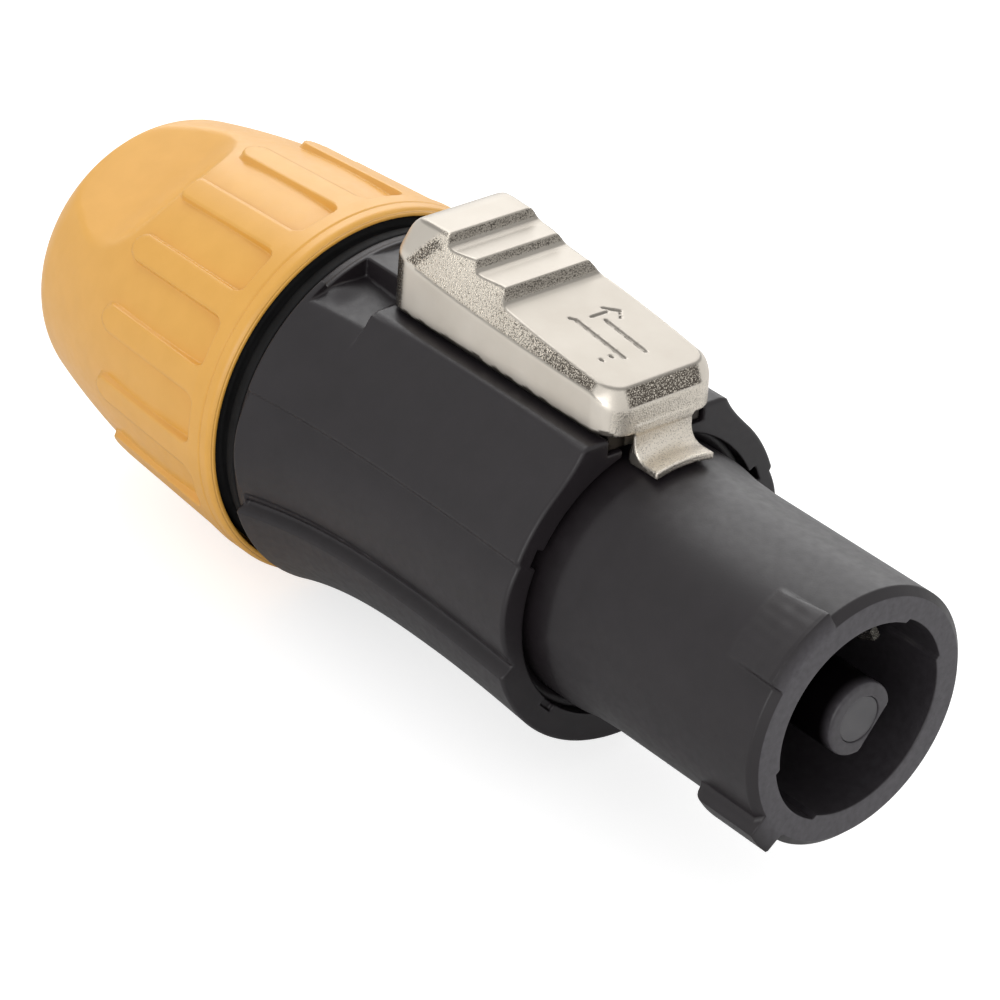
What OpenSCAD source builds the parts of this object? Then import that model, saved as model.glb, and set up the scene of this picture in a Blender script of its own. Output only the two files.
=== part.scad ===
// Locking power plug: a cable plug with a bayonet nose, a sprung thumb latch
// and a screw-on cable bushing.
// The nose points along +X with its front face at the origin; +Z is up through the latch.

/* [Nose] */
// Outside diameter of the nose
nose_d = 20; // [18:0.5:24]
// Length of the nose in front of the housing
nose_len = 22.4; // [21:0.2:28]
// Wall between the outside of the nose and its front bore
nose_wall = 2.6; // [2.2:0.1:3]
// Depth of the front bore
socket_depth = 16; // [14:0.5:18]
// Diameter of the centre post
post_d = 5.7; // [4.4:0.1:6]
// Diameter of the carrier spigot inside the centre post
spigot_d = 3.5; // [2.4:0.1:3.6]
// Extra radius of the two keyways in the bore
keyway_depth = 0.35; // [0.2:0.05:0.8]
// Height of the bayonet lugs above the nose
lug_h = 1.1; // [0.6:0.1:1.6]
// Length of the bayonet lugs
lug_len = 5.4; // [4:0.2:8]

/* [Housing] */
// Length of the housing from its front face to its rear rim
housing_len = 29.2; // [28:0.4:40]
// Thickness of the housing wall at its waist
housing_wall = 2.37; // [2.1:0.1:3.2]
// Growth in radius from the waist to the front rim
rim_flare = 0.53; // [0.2:0.05:0.9]
// Growth in radius from the waist to the rear rim
collar_flare = 2.0; // [1.6:0.1:2.4]
// Distance from the front face back to the waist
waist_run = 11.6; // [10:0.2:14]
// Width over the two latch rails
rail_w = 13.1; // [12.8:0.1:14.4]
// Height of the latch rails above their channel
rail_h = 1.3; // [1.2:0.1:1.8]
// Length of the latch rails
rail_len = 23.6; // [22:0.2:25]
// Depth of the recess round the nose in the front face
face_recess = 1.2; // [0.6:0.1:2]

/* [Latch] */
// Width of the latch
latch_w = 10.6; // [9.6:0.1:11.4]
// Length of the latch body
latch_len = 25; // [23:0.2:26]
// Height of the latch at its rear crest
latch_rear_h = 7.45; // [6:0.05:9]
// Height of the latch at its front end
latch_front_h = 3.7; // [3.2:0.1:4.6]
// How far the latch slides back
latch_travel = 3; // [2:0.1:3.4]
// Width of the latch tongue
tongue_w = 5.4; // [4:0.1:6]
// Outside diameter of the latch spring
spring_d = 2.5; // [1.6:0.1:2.6]
// Wire thickness of the latch spring
spring_wire = 0.4; // [0.2:0.05:0.5]

/* [Cap] */
// Length of the cap
cap_len = 29.3; // [28:0.2:36]
// Thickness of the cap wall over the thread
cap_wall = 1.75; // [1.4:0.05:2.4]
// Number of gripping fingers
finger_n = 15; // [9:1:18]
// Width of a gripping finger
finger_w = 2.4; // [1.6:0.1:3]
// Height of the fingers and of the front rim above the cap
finger_h = 0.65; // [0.3:0.05:1.2]
// Length of a gripping finger from the front of the cap
finger_len = 15.7; // [10:0.1:18]
// Distance of the wrench scoops from the axis
scoop_r = 11; // [10.5:0.1:12]
// Radius of the rounded rear edge
cap_round = 4.7; // [3:0.1:5]
// Diameter of the cable hole
cable_hole_d = 12.6; // [9:0.2:13]
// Travel of the cap as it is screwed off
unscrew = 5; // [3:0.5:5.5]

/* [Inside] */
// Length of the housing's threaded spigot
spigot_len = 10; // [9:0.5:12]
// Thickness of the spigot wall
spigot_wall = 1.3; // [1.1:0.1:1.8]
// Width of a terminal block
terminal_w = 6; // [5:0.1:6.4]
// Height of a terminal block
terminal_h = 4.6; // [4.2:0.1:4.8]
// Length of a terminal block
terminal_len = 10; // [8:0.5:14]
// Thread diameter of a terminal screw
screw_d = 2.5; // [2:0.1:3]
// Thickness of a contact leaf
leaf_t = 0.6; // [0.4:0.05:0.8]
// Width of a contact leaf
leaf_w = 3.6; // [2.4:0.1:4]
// Width of the earth leaf at its tip
earth_tip_w = 1.2; // [0.8:0.1:2]

/* [Fits] */
// Gap between faces that slide or turn past each other
run_gap = 0.3; // [0.2:0.05:0.4]
// Gap between pieces that are pushed together
seat_gap = 0.05; // [0.02:0.01:0.1]

/* [Hidden] */
$fn = 96;
past = 0.5;             // how far a cutter runs past the face it cuts

// Radii of the nose and of the housing bore that it sits in
nose_r = nose_d / 2;
nose_chamfer = 0.45;
bore_r = nose_r - nose_wall;
root_r = nose_r + 0.4;
root_step_r = nose_r + 0.15;
root_run = 3;               // from the housing's face forward to the thicker root
root_step_run = 1.5;
root_at = nose_len - root_run;
root_step_at = root_at - root_step_run;
flange_r = root_r + 0.8;
flange_t = 2.5;
seat_r = root_r + seat_gap;
well_r = flange_r + seat_gap;
spigot_r = well_r + spigot_wall;

// Stations along the axis, as depths behind the nose face
collar_at = nose_len + housing_len;
flange_at = collar_at - 5.6;
well_end = flange_at + flange_t;
seal_at = collar_at + 0.6;
spigot_end = collar_at + spigot_len;
cap_at = collar_at + 2;
cap_end = cap_at + cap_len;

// Inside of the nose
socket_floor = 4;
carrier_at = socket_depth + socket_floor;
chamber_r = root_r - 1.5;
post_flat = spigot_d / 2 + 0.1;
post_flat_angle = 233;
keyways = [[-72, -28], [101, 155]];

// Bayonet lugs: start angle, end angle and height at the rear end
lug_front = 0.1;
lugs = [[22.5, 56.5, 0.1], [121.5, 137.5, 1]];

// Outside of the housing
waist_r = seat_r + housing_wall;
rim_r = waist_r + rim_flare;
collar_r = waist_r + collar_flare;
waist_at = nose_len + waist_run;
rim_power = 1.6;
collar_power = 2.8;
profile_steps = 9;
rim_round = 0.35;
notch_angles = [65, 135, 225, 295];
notch_w = 1.4;
notch_h = 1.35;
panel_span = [68, 103];
panel_shift = 6;

// Channel, rails and block under the latch
channel_z = seat_r + 0.85;
rail_top = channel_z + rail_h;
lip_t = 0.5;
neck_half = 4.5;
undercut_half = 5.2;
undercut_end = 1;
rail_end = nose_len + rail_len;
platform_end = collar_at - 0.5;
block_half = 3.2;
block_top = rail_top + 1.2;
block_at = rail_end - 4.5;
rim_top_r = rail_top + 1.5;
rim_top_half = 30;          // half angle of the low part of the rear rim

// Latch
latch_z = rail_top + run_gap;
latch_half = latch_w / 2;
latch_rear = rail_end + 0.4;
latch_front = latch_rear - latch_len;
crest_half = latch_half - 1.6;
brow_half = latch_half - 1.2;
side_rear_h = 4.05;
side_front_h = 2.65;
crest_r = 3;
crest_at = latch_rear - crest_r - 0.1;
front_corner = 1.2;
brow_run = 1;                       // from the front face back to the front end of the slope
rear_corner = 1.9;
riser_at = [4.95, 8.03, 11.5];      // behind the latch's rear end
riser_run = 0.4;
riser_top = [0, 0.88, 1.57];        // below the crest
tread_top = [1.0, 1.6, 2.5];        // below the crest
arrow_front = 2;                    // from the slope's front end to the arrow's two bars
arrow_bar = 4.6;
arrow_half = 0.9;                   // from the middle to each bar
arrow_line = 0.3;
arrow_depth = 0.2;
arrow_angle = 40;
hollow_half = block_half + run_gap;
hollow_top = block_top + run_gap;
leg_gap = 0.1;
leg_half = neck_half - leg_gap;
foot_half = undercut_half - leg_gap;
leg_end = rail_end - latch_travel;
pusher_t = 4;
pusher_at = latch_front + pusher_t;
rooted = 1;                 // how far the pusher, legs and tongue run up into the block
tongue_t = 0.6;
tongue_reach = 2.6;
tongue_half = tongue_w / 2;
plate_in_r = root_r + run_gap - 0.05;
plate_t = 0.55;
pin_r = 0.6;
pin_at = block_at + 2.2;
pin_z = channel_z + 1.2;
pin_half = leg_half - leg_gap;

// Seal and cap
seal_r = spigot_r + 1.8;
seal_step = 0.25;
seal_len = 3.4;
thread_r = spigot_r + run_gap;
mouth_r = seal_r + run_gap;
cap_r = thread_r + cap_wall;
rim_len = 2.8;
lip_round = 0.6;
rim_groove_at = 1.25;
rim_groove = 0.15;
finger_slope = 0.06;
finger_phase = 26;
scoop_len = 6.9;
scoop_run = 6.8;
scoop_runout_r = 9.3;
scoop_angles = [26, 206];
thread_end = spigot_end + 4.4;
shoulder_at = cap_end - 2.6;
cone_start_r = thread_r - 0.3;
cone_end_r = cable_hole_d / 2 + 0.9;
hole_r = cable_hole_d / 2;
bulge_rise = 0.0241;
bulge_fall = 0.00625;
round_angle = 15;

// Chuck
chuck_at = well_end + run_gap;
chuck_r = well_r - run_gap;
chuck_neck = spigot_end - 2;
chuck_gap = run_gap + seat_gap;
chuck_bore = chuck_r - 2.8;
grip_r = hole_r - 0.7;
grip_len = 9;
grip_at = shoulder_at - grip_len;
chuck_end = shoulder_at - 1;
key_w = 3;
key_r = chuck_r + 0.8;
slit_w = 1.8;

// Terminals
way_step = 120;
ways = [for (i = [0 : 2]) (i - 0.5) * way_step];    // earth, line, neutral
terminal_out = chamber_r - 0.9;
terminal_in = terminal_out - terminal_h;
disc_t = 2.5;
terminal_at = carrier_at + disc_t;
wire_w = 3.4;
wire_top = terminal_out - 1;
wire_low = terminal_in + 0.7;
plate_w = wire_w - 0.4;
plate_h = 0.4;
plate_top = wire_top - 0.6;
screw_at = terminal_at + terminal_len / 2;
screw_head_r = screw_d / 2 + 0.35;
screw_gap = 0.05;
leaf_r = bore_r - 1.2;              // outer face of a contact leaf
leaf_bow = 0.5;
leaf_tips = [4.2, 9, 9];            // the earth leaf reaches furthest forward
taper_at = 9;                       // where the earth leaf's narrow tip ends
taper_run = 2.4;
fin_t = 1.2;
hub_r = 2.6;
fin_end = terminal_at + terminal_len + 4;

// ---- helpers ----

// Turns a piece drawn along +Z so that it runs back from the nose face, with +X upward.
module along() {
    rotate([0, -90, 0]) children();
}

// Turns a piece about the axis, from the top towards -Y.
module at_angle(a) {
    rotate([0, 0, -a]) children();
}

// A round bar between two depths.
module bar(r, from, to) {
    translate([0, 0, from]) cylinder(r = r, h = to - from);
}

// A wedge between two angles, long enough to cut any ring.
module wedge(a, b, from, to, reach = 30) {
    mid = (a + b) / 2;
    half = (b - a) / 2;
    at_angle(mid) translate([0, 0, from]) linear_extrude(to - from)
        polygon([[0, 0], [reach, -reach * tan(half)], [reach, reach * tan(half)]]);
}

// A block given by its depth range, half width and height range, in the upright frame.
module slab(from, to, half, low, high) {
    translate([-to, -half, low]) cube([to - from, 2 * half, high - low]);
}

// ---- housing ----

function front_waist(i) = let (t = 1 - i / profile_steps)
    [waist_r + rim_flare * pow(t, rim_power), nose_len + (waist_at - nose_len) * (1 - t)];
function rear_waist(i) = let (t = i / profile_steps)
    [waist_r + collar_flare * pow(t, collar_power), waist_at + (collar_at - waist_at) * t];

// The waisted outside of the housing, with its radius drawn in by inset.
module waisted(inset = 0) {
    outline = concat(
        [[0, nose_len], [rim_r - rim_round, nose_len], [rim_r - rim_round * 0.3, nose_len + rim_round * 0.3]],
        [for (i = [1 : profile_steps]) front_waist(i)],
        [for (i = [1 : profile_steps]) rear_waist(i)],
        [[0, collar_at]]);
    rotate_extrude() polygon([for (p = outline) [max(0, p[0] - inset), p[1]]]);
}

// The round body with a flatter panel let into each side.
module panelled() {
    difference() {
        waisted();
        for (s = [0, 1]) mirror([0, s, 0])
            wedge(panel_span[0], panel_span[1], nose_len - past, collar_at + past);
    }
    for (s = [0, 1]) mirror([0, s, 0]) intersection() {
        wedge(panel_span[0], panel_span[1], nose_len - past, collar_at + past);
        at_angle((panel_span[0] + panel_span[1]) / 2)
            translate([panel_shift, 0, 0]) waisted(panel_shift);
    }
}

// The raised deck that carries the latch, with flanks that fair into the round body.
module deck() {
    half = rail_w / 2;
    low = rail_top - 2.6;
    translate([-rail_end, 0, 0]) rotate([90, 0, 90]) linear_extrude(rail_len)
        polygon([[-half - 1.9, low], [-half - 0.9, rail_top - 1.7], [-half - 0.25, rail_top - 0.9],
            [-half, rail_top], [half, rail_top], [half + 0.25, rail_top - 0.9],
            [half + 0.9, rail_top - 1.7], [half + 1.9, low]]);
}

module housing() {
    color([0.17, 0.165, 0.18]) {
        difference() {
            union() {
                along() {
                    panelled();
                    bar(seal_r - 0.3, collar_at - past, seal_at);
                    bar(spigot_r, collar_at - past, spigot_end);
                }
                deck();
                slab(block_at, platform_end, block_half, channel_z - past, block_top);
            }
            // bore, well, front recess and key grooves
            along() {
                bar(seat_r, nose_len - past, spigot_end + past);
                bar(well_r, flange_at, spigot_end + past);
                bar(root_r + 0.8, nose_len - past, nose_len + face_recess);
                for (a = notch_angles) at_angle(a)
                    translate([seat_r - 1, -notch_w / 2, nose_len - past])
                        cube([1 + notch_h, notch_w, past + face_recess + notch_w / 2]);
                for (a = [90, 270]) at_angle(a)
                    translate([0, -key_w / 2 - run_gap, flange_at])
                        cube([key_r + run_gap, key_w + 2 * run_gap, spigot_end - flange_at + past]);
            }
            // channel between the rails, its undercuts and the slot for the tongue
            slab(nose_len - past, block_at, neck_half, channel_z, block_top + past);
            for (s = [-1, 1]) {
                side_mid = (neck_half + block_half) / 2;
                translate([0, s * side_mid, 0])
                    slab(block_at - past, rail_end + past, (neck_half - block_half) / 2, channel_z,
                        block_top + past);
            }
            slab(nose_len + undercut_end, block_at, undercut_half, channel_z, rail_top - lip_t);
            for (s = [-1, 1]) translate([0, s * (undercut_half + block_half) / 2, 0])
                slab(block_at - past, rail_end + past, (undercut_half - block_half) / 2, channel_z,
                    rail_top - lip_t);
            slab(nose_len - past, nose_len + latch_travel + 1.6, tongue_half + run_gap + 0.1,
                0.9 * root_r, channel_z + past);
            // platform behind the rails, the low rim and the pockets below it
            for (s = [-1, 1]) translate([0, s * (block_half + 5), 0])
                slab(rail_end, platform_end, 5, channel_z, collar_r + past);
            slab(rail_end, platform_end, block_half + past, block_top, collar_r + past);
            pin_shape(pin_r, block_half + past);
            along() difference() {
                wedge(-rim_top_half, rim_top_half, platform_end - past, collar_at + past);
                bar(rim_top_r, platform_end - 2 * past, collar_at + 2 * past);
            }
        }
    }
}

// ---- nose ----

module nose() {
    color([0.19, 0.185, 0.2]) along() difference() {
        union() {
            rotate_extrude() polygon([[0, 0], [nose_r - nose_chamfer, 0], [nose_r, nose_chamfer],
                [nose_r, root_step_at], [root_step_r, root_step_at], [root_step_r, root_at],
                [root_r, root_at], [root_r, flange_at], [flange_r, flange_at],
                [flange_r, well_end], [0, well_end]]);
            for (l = lugs) lug(l[0], l[1], l[2]);
        }
        difference() {
            union() {
                bar(bore_r, -past, socket_depth);
                for (k = keyways) intersection() {
                    bar(bore_r + keyway_depth, -past, socket_depth - 2);
                    wedge(k[0], k[1], -past, socket_depth);
                }
            }
            post();
        }
        bar(spigot_d / 2 + seat_gap, -past, carrier_at + past);
        bar(chamber_r, carrier_at, well_end + past);
        for (a = ways) at_angle(a) {
            translate([leaf_r - leaf_t - 0.15, -leaf_w / 2 - 0.15, socket_depth - past])
                cube([leaf_t + 0.3, leaf_w + 0.3, socket_floor + 2 * past]);
            translate([chamber_r - past, 0, screw_at]) rotate([0, 90, 0])
                cylinder(r = screw_head_r + 0.3, h = root_r - chamber_r + 2 * past);
        }
    }
}

// The centre post, with the flat that keys it.
module post() {
    difference() {
        bar(post_d / 2, 0, socket_depth + past);
        at_angle(post_flat_angle) translate([post_flat, -post_d / 2, -past])
            cube([post_d, post_d, socket_depth]);
    }
}

// A bayonet lug whose height falls to a share of lug_h at its rear end.
module lug(a, b, share) {
    intersection() {
        rotate_extrude() polygon([[bore_r + 1, lug_front], [nose_r + lug_h, lug_front],
            [nose_r + lug_h, lug_front + 0.4], [nose_r + lug_h * share, lug_front + lug_len],
            [bore_r + 1, lug_front + lug_len]]);
        wedge(a, b, 0, lug_front + lug_len + past);
    }
}

// ---- contacts and terminals ----

module contact_carrier() {
    color([0.3, 0.3, 0.32]) along() difference() {
        union() {
            bar(spigot_d / 2, 0.1, carrier_at + past);
            bar(chamber_r - seat_gap, carrier_at, terminal_at);
            bar(hub_r, terminal_at - past, fin_end);
            for (a = ways) at_angle(a + way_step / 2) translate([0, -fin_t / 2, terminal_at - past])
                cube([chamber_r - 0.1, fin_t, fin_end - terminal_at + past]);
        }
        for (a = ways) at_angle(a)
            translate([leaf_r - leaf_t - 0.15, -leaf_w / 2 - 0.15, carrier_at - past])
                cube([leaf_t + 0.3, leaf_w + 0.3, disc_t + 2 * past]);
    }
}

// A spring leaf that reaches from the front face of its terminal into the bore.
module leaf(way) {
    tip = leaf_tips[way];
    in = leaf_r - leaf_t;
    mid = socket_depth - 1;
    translate([0, leaf_w / 2, 0]) rotate([90, 0, 0]) linear_extrude(leaf_w)
            polygon([[in, terminal_at], [in, mid], [in - leaf_bow, tip + 2], [in - leaf_bow, tip + 1],
                [in, tip], [leaf_r, tip], [leaf_r - leaf_bow, tip + 1.3],
                [leaf_r - leaf_bow, tip + 2], [leaf_r, mid], [leaf_r, terminal_at]]);
}

// Plan of the earth leaf, which narrows towards its tip.
module narrowed() {
    wide = leaf_w / 2 + past;
    narrow = earth_tip_w / 2;
    from = leaf_tips[0] - past;
    translate([leaf_r - leaf_t - leaf_bow - past, 0, 0]) rotate([0, 90, 0])
        linear_extrude(leaf_t + leaf_bow + 2 * past)
            polygon([[-from, -narrow], [-taper_at, -narrow], [-taper_at - taper_run, -wide],
                [-terminal_at - past, -wide], [-terminal_at - past, wide],
                [-taper_at - taper_run, wide], [-taper_at, narrow], [-from, narrow]]);
}

module contact(way) {
    color([0.8, 0.78, 0.7]) along() at_angle(ways[way])
        if (way == 0) intersection() {
            leaf(way);
            narrowed();
        } else leaf(way);
}

module terminal(way) {
    color([0.78, 0.66, 0.38]) along() at_angle(ways[way]) difference() {
        translate([terminal_in, -terminal_w / 2, terminal_at])
            cube([terminal_h, terminal_w, terminal_len]);
        translate([wire_low, -wire_w / 2, terminal_at + 1.5])
            cube([wire_top - wire_low, wire_w, terminal_len]);
        translate([wire_top - past, 0, screw_at]) rotate([0, 90, 0])
            cylinder(r = screw_d / 2 + screw_gap, h = 2);
    }
}

module plate(way) {
    color([0.72, 0.73, 0.75]) along() at_angle(ways[way])
        translate([plate_top - plate_h, -plate_w / 2, terminal_at + 2.2])
            cube([plate_h, plate_w, terminal_len - 2.6]);
}

module screw(way) {
    color([0.72, 0.73, 0.75]) along() at_angle(ways[way]) translate([0, 0, screw_at]) rotate([0, 90, 0])
        difference() {
            union() {
                translate([0, 0, plate_top]) cylinder(r = screw_d / 2, h = terminal_out + 0.3 - plate_top);
                translate([0, 0, terminal_out]) cylinder(r = screw_head_r, h = 0.6);
            }
            translate([-0.3, -screw_head_r - past, terminal_out + 0.3])
                cube([0.6, 2 * screw_head_r + 2 * past, 1]);
        }
}

// ---- latch ----

// Plan of the latch with rounded corners, small at the front and large at the rear.
module latch_plan(inset = 0) {
    half = latch_half - inset;
    for (s = [-1, 1]) {
        translate([-latch_front - inset - front_corner, s * (half - front_corner)]) circle(r = front_corner);
        translate([-latch_rear + inset + rear_corner, s * (half - rear_corner)]) circle(r = rear_corner);
    }
    translate([-latch_rear + inset + rear_corner, -half])
        square([latch_len - 2 * inset - rear_corner - front_corner, 2 * half]);
    translate([-latch_rear + inset, rear_corner - half])
        square([latch_len - 2 * inset, 2 * (half - rear_corner)]);
    translate([-latch_front - inset - 2 * front_corner, front_corner - half])
        square([2 * front_corner, 2 * (half - front_corner)]);
}

// Side view of the latch block: polygon of [depth, height above the latch's underside].
module side_cut(outline) {
    translate([0, latch_half + past, latch_z]) rotate([90, 0, 0]) linear_extrude(latch_w + 2 * past)
        polygon([for (p = outline) [-p[0], p[1]]]);
}

// The convex block from which the steps are cut: upright sides, then a bevel up to the crest.
module latch_block() {
    intersection() {
        translate([0, 0, latch_z]) linear_extrude(latch_rear_h) latch_plan();
        side_cut([[latch_front - past, -past], [latch_rear + past, -past],
            [latch_rear + past, side_rear_h], [latch_front - past, side_front_h]]);
    }
    hull() {
        intersection() {
            translate([0, 0, latch_z]) linear_extrude(latch_rear_h, $fn = 32) latch_plan($fn = 32);
            side_cut([[latch_front - past, side_front_h - 0.2], [latch_rear + past, side_rear_h - 0.2],
                [latch_rear + past, side_rear_h], [latch_front - past, side_front_h]]);
        }
        translate([-crest_at, crest_half, latch_z + latch_rear_h - crest_r]) rotate([90, 0, 0])
            cylinder(r = crest_r, h = 2 * crest_half, $fn = 48);
        slab(latch_front + brow_run, latch_front + brow_run + 0.1, brow_half,
            latch_z + latch_front_h - 0.1, latch_z + latch_front_h);
    }
}

// The stair-like thumb steps, cut down from the crest, and the slope in front of them.
module step_cut() {
    top = latch_rear_h;
    r = [for (d = riser_at) latch_rear - d];
    side_cut([[r[0], top + past], [r[0], top - riser_top[0]], [r[0] - riser_run, top - tread_top[0]],
        [r[1], top - riser_top[1]], [r[1] - riser_run, top - tread_top[1]],
        [r[2], top - riser_top[2]], [r[2] - riser_run, top - tread_top[2]],
        [latch_front + brow_run, latch_front_h], [latch_front - past, latch_front_h],
        [latch_front - past, top + past]]);
}

// An outline arrow, cut shallow in the front slope and pointing to the rear.
module arrow_cut() {
    run = latch_len - brow_run - riser_at[2] - riser_run;
    fall = latch_rear_h - tread_top[2] - latch_front_h;
    bar_end = arrow_front + arrow_bar;
    translate([-latch_front - brow_run, 0, latch_z + latch_front_h]) rotate([0, atan(fall / run), 0])
        for (s = [-1, 1]) {
            translate([-bar_end, s * arrow_half - arrow_line / 2, -arrow_depth])
                cube([arrow_bar, arrow_line, 2 * past]);
            translate([-bar_end - arrow_half, 0, -arrow_depth]) rotate([0, 0, s * arrow_angle])
                cube([arrow_bar / 2, arrow_line, 2 * past]);
        }
}

// The tongue that drops in front of the housing, with its forward plate over the nose.
module tongue() {
    back = latch_front + 0.2;
    slab(back - tongue_t, back, tongue_half, plate_in_r + 0.1, latch_z + rooted);
    intersection() {
        along() difference() {
            bar(plate_in_r + plate_t, back - tongue_reach, back);
            bar(plate_in_r, back - tongue_reach - past, back + past);
        }
        slab(back - tongue_reach, back, tongue_half, 0, 2 * plate_in_r);
    }
}

// A leg and foot on each side: the legs pass between the rail lips and the feet run under them.
module legs() {
    for (s = [-1, 1]) {
        translate([0, s * (leg_half + hollow_half) / 2, 0])
            slab(pusher_at - past, leg_end, (leg_half - hollow_half) / 2, channel_z + leg_gap,
                latch_z + rooted);
        translate([0, s * (foot_half + hollow_half) / 2, 0])
            slab(pusher_at, leg_end, (foot_half - hollow_half) / 2, channel_z + leg_gap,
                rail_top - lip_t - leg_gap);
    }
}

module latch() {
    color([0.78, 0.76, 0.72]) {
        difference() {
            union() {
                difference() {
                    latch_block();
                    step_cut();
                    arrow_cut();
                    slab(pusher_at, latch_rear + past, hollow_half, latch_z - past, hollow_top);
                }
                // pusher that the spring bears on
                slab(nose_len + run_gap, pusher_at, leg_half, channel_z + leg_gap, latch_z + rooted);
                legs();
            }
            // slots that let the latch slide past its pin
            slab(pin_at - latch_travel - pin_r - leg_gap, pin_at + pin_r + leg_gap, leg_half,
                pin_z - pin_r - leg_gap, pin_z + pin_r + leg_gap);
        }
        tongue();
    }
}

module latch_spring() {
    from = pusher_at;
    to = block_at;
    z = channel_z + leg_gap + spring_d / 2;
    color([0.7, 0.71, 0.73]) translate([0, 0, z]) along() difference() {
        bar(spring_d / 2, from, to);
        bar(spring_d / 2 - spring_wire, from - past, to + past);
    }
}

// A rod across the plug where the latch pin lies.
module pin_shape(r, half) {
    translate([-pin_at, half, pin_z]) rotate([90, 0, 0]) cylinder(r = r, h = 2 * half);
}

module latch_pin() {
    color([0.66, 0.67, 0.7]) pin_shape(pin_r, pin_half);
}

// ---- cable end ----

module seal_ring() {
    color([0.07, 0.07, 0.075]) along() rotate_extrude() polygon([[spigot_r, seal_at],
        [seal_r - seal_step, seal_at], [seal_r - seal_step, seal_at + 0.9],
        [seal_r, seal_at + 0.9], [seal_r, seal_at + seal_len], [spigot_r, seal_at + seal_len]]);
}

module chuck() {
    color([0.13, 0.13, 0.135]) along() difference() {
        union() {
            rotate_extrude() polygon([[0, chuck_at], [chuck_r, chuck_at], [chuck_r, chuck_cone_at()],
                [chuck_cone_r(chuck_end), chuck_end], [0, chuck_end]]);
            for (a = [90, 270]) at_angle(a) translate([0, -key_w / 2, chuck_at])
                cube([key_r, key_w, chuck_neck - chuck_at - unscrew / 2]);
        }
        rotate_extrude() polygon([[0, chuck_at - past], [chuck_bore, chuck_at - past],
            [chuck_bore, chuck_neck], [grip_r, grip_at], [grip_r, chuck_end + past],
            [0, chuck_end + past]]);
        for (a = [45, 135]) at_angle(a) translate([-2 * chuck_r, -slit_w / 2, chuck_neck])
            cube([4 * chuck_r, slit_w, chuck_end - chuck_neck + past]);
    }
}

// Radius of the cap's inner cone at a depth, and the chuck's cone a running gap inside it.
cone_slope = (cone_start_r - cone_end_r) / (shoulder_at - thread_end);
function cone_r(d) = cone_start_r - (d - thread_end) * cone_slope;
function chuck_cone_r(d) = cone_r(d) - chuck_gap;
function chuck_cone_at() = thread_end + (cone_start_r - chuck_gap - chuck_r) / cone_slope;

// The smooth outside of the cap: a slow bulge, then an arc round the rear edge.
function bulge(d) = let (t = d - cap_at - 3.4)
    cap_r + bulge_rise * t - bulge_fall * t * t;
round_at = cap_end - cap_round * (1 - sin(round_angle));
round_mid = [bulge(round_at) - cap_round * cos(round_angle), cap_end - cap_round];
function round_point(a) = [round_mid[0] + cap_round * cos(a), round_mid[1] + cap_round * sin(a)];

module cap_shell() {
    rotate_extrude() polygon(concat(
        [[0, cap_at + rim_len / 2], [bulge(cap_at + rim_len / 2), cap_at + rim_len / 2]],
        [for (i = [0 : 10]) let (d = cap_at + rim_len + (round_at - cap_at - rim_len) * i / 10)
            [bulge(d), d]],
        [for (a = [round_angle + 12.5 : 12.5 : 90]) round_point(a)],
        [[0, cap_end]]));
}

// The raised rim at the mouth, with a thin groove round it.
module cap_rim() {
    top = cap_r + finger_h;
    g = cap_at + rim_groove_at;
    rotate_extrude() polygon([[thread_r - 1, cap_at], [top - lip_round, cap_at],
        [top - 0.3 * lip_round, cap_at + 0.3 * lip_round], [top, cap_at + lip_round],
        [top, g - rim_groove], [top - rim_groove, g], [top, g + rim_groove],
        [top, cap_at + rim_len], [thread_r - 1, cap_at + rim_len]]);
}

// The fingers run back from the rim and sink slightly towards their round tips.
module fingers() {
    top = cap_r + finger_h;
    from = cap_at + rim_len;
    to = cap_at + finger_len;
    intersection() {
        rotate_extrude() polygon([[thread_r, from], [top, from],
            [top - finger_slope * (to - from), to + past], [thread_r, to + past]]);
        for (i = [0 : finger_n - 1]) at_angle(finger_phase + i * 360 / finger_n)
            translate([thread_r - past, 0, 0]) finger_plan(from, to, cap_wall + finger_h + 2 * past);
    }
}

// One finger seen from outside: straight sides and a round rear tip.
module finger_plan(from, to, h) {
    translate([0, -finger_w / 2, from]) cube([h, finger_w, to - finger_w / 2 - from]);
    translate([0, 0, to - finger_w / 2]) rotate([0, 90, 0]) cylinder(r = finger_w / 2, h = h);
}

module cap() {
    color([0.93, 0.66, 0.28]) along() difference() {
        union() {
            cap_shell();
            cap_rim();
            fingers();
        }
        rotate_extrude() polygon([[0, cap_at - past], [mouth_r, cap_at - past],
            [mouth_r, seal_at + seal_len + run_gap], [thread_r, seal_at + seal_len + run_gap],
            [thread_r, thread_end], [cone_r(thread_end), thread_end], [cone_end_r, shoulder_at],
            [hole_r, shoulder_at], [hole_r, cap_end + past], [0, cap_end + past]]);
        for (a = scoop_angles) at_angle(a) scoop();
    }
}

// Cutter for a wrench scoop: a flat that runs out forward along an arc.
module scoop() {
    flat_at = cap_end - scoop_len;
    steps = 8;
    rise = asin(scoop_run / scoop_runout_r);
    translate([0, cap_r, 0]) rotate([90, 0, 0]) linear_extrude(2 * cap_r)
        polygon(concat(
            [for (i = [0 : steps]) let (a = rise * i / steps)
                [scoop_r + scoop_runout_r * (1 - cos(a)), flat_at - scoop_runout_r * sin(a)]],
            [[cap_r + 2, flat_at - scoop_run], [cap_r + 2, cap_end + past], [scoop_r, cap_end + past]]));
}

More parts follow.
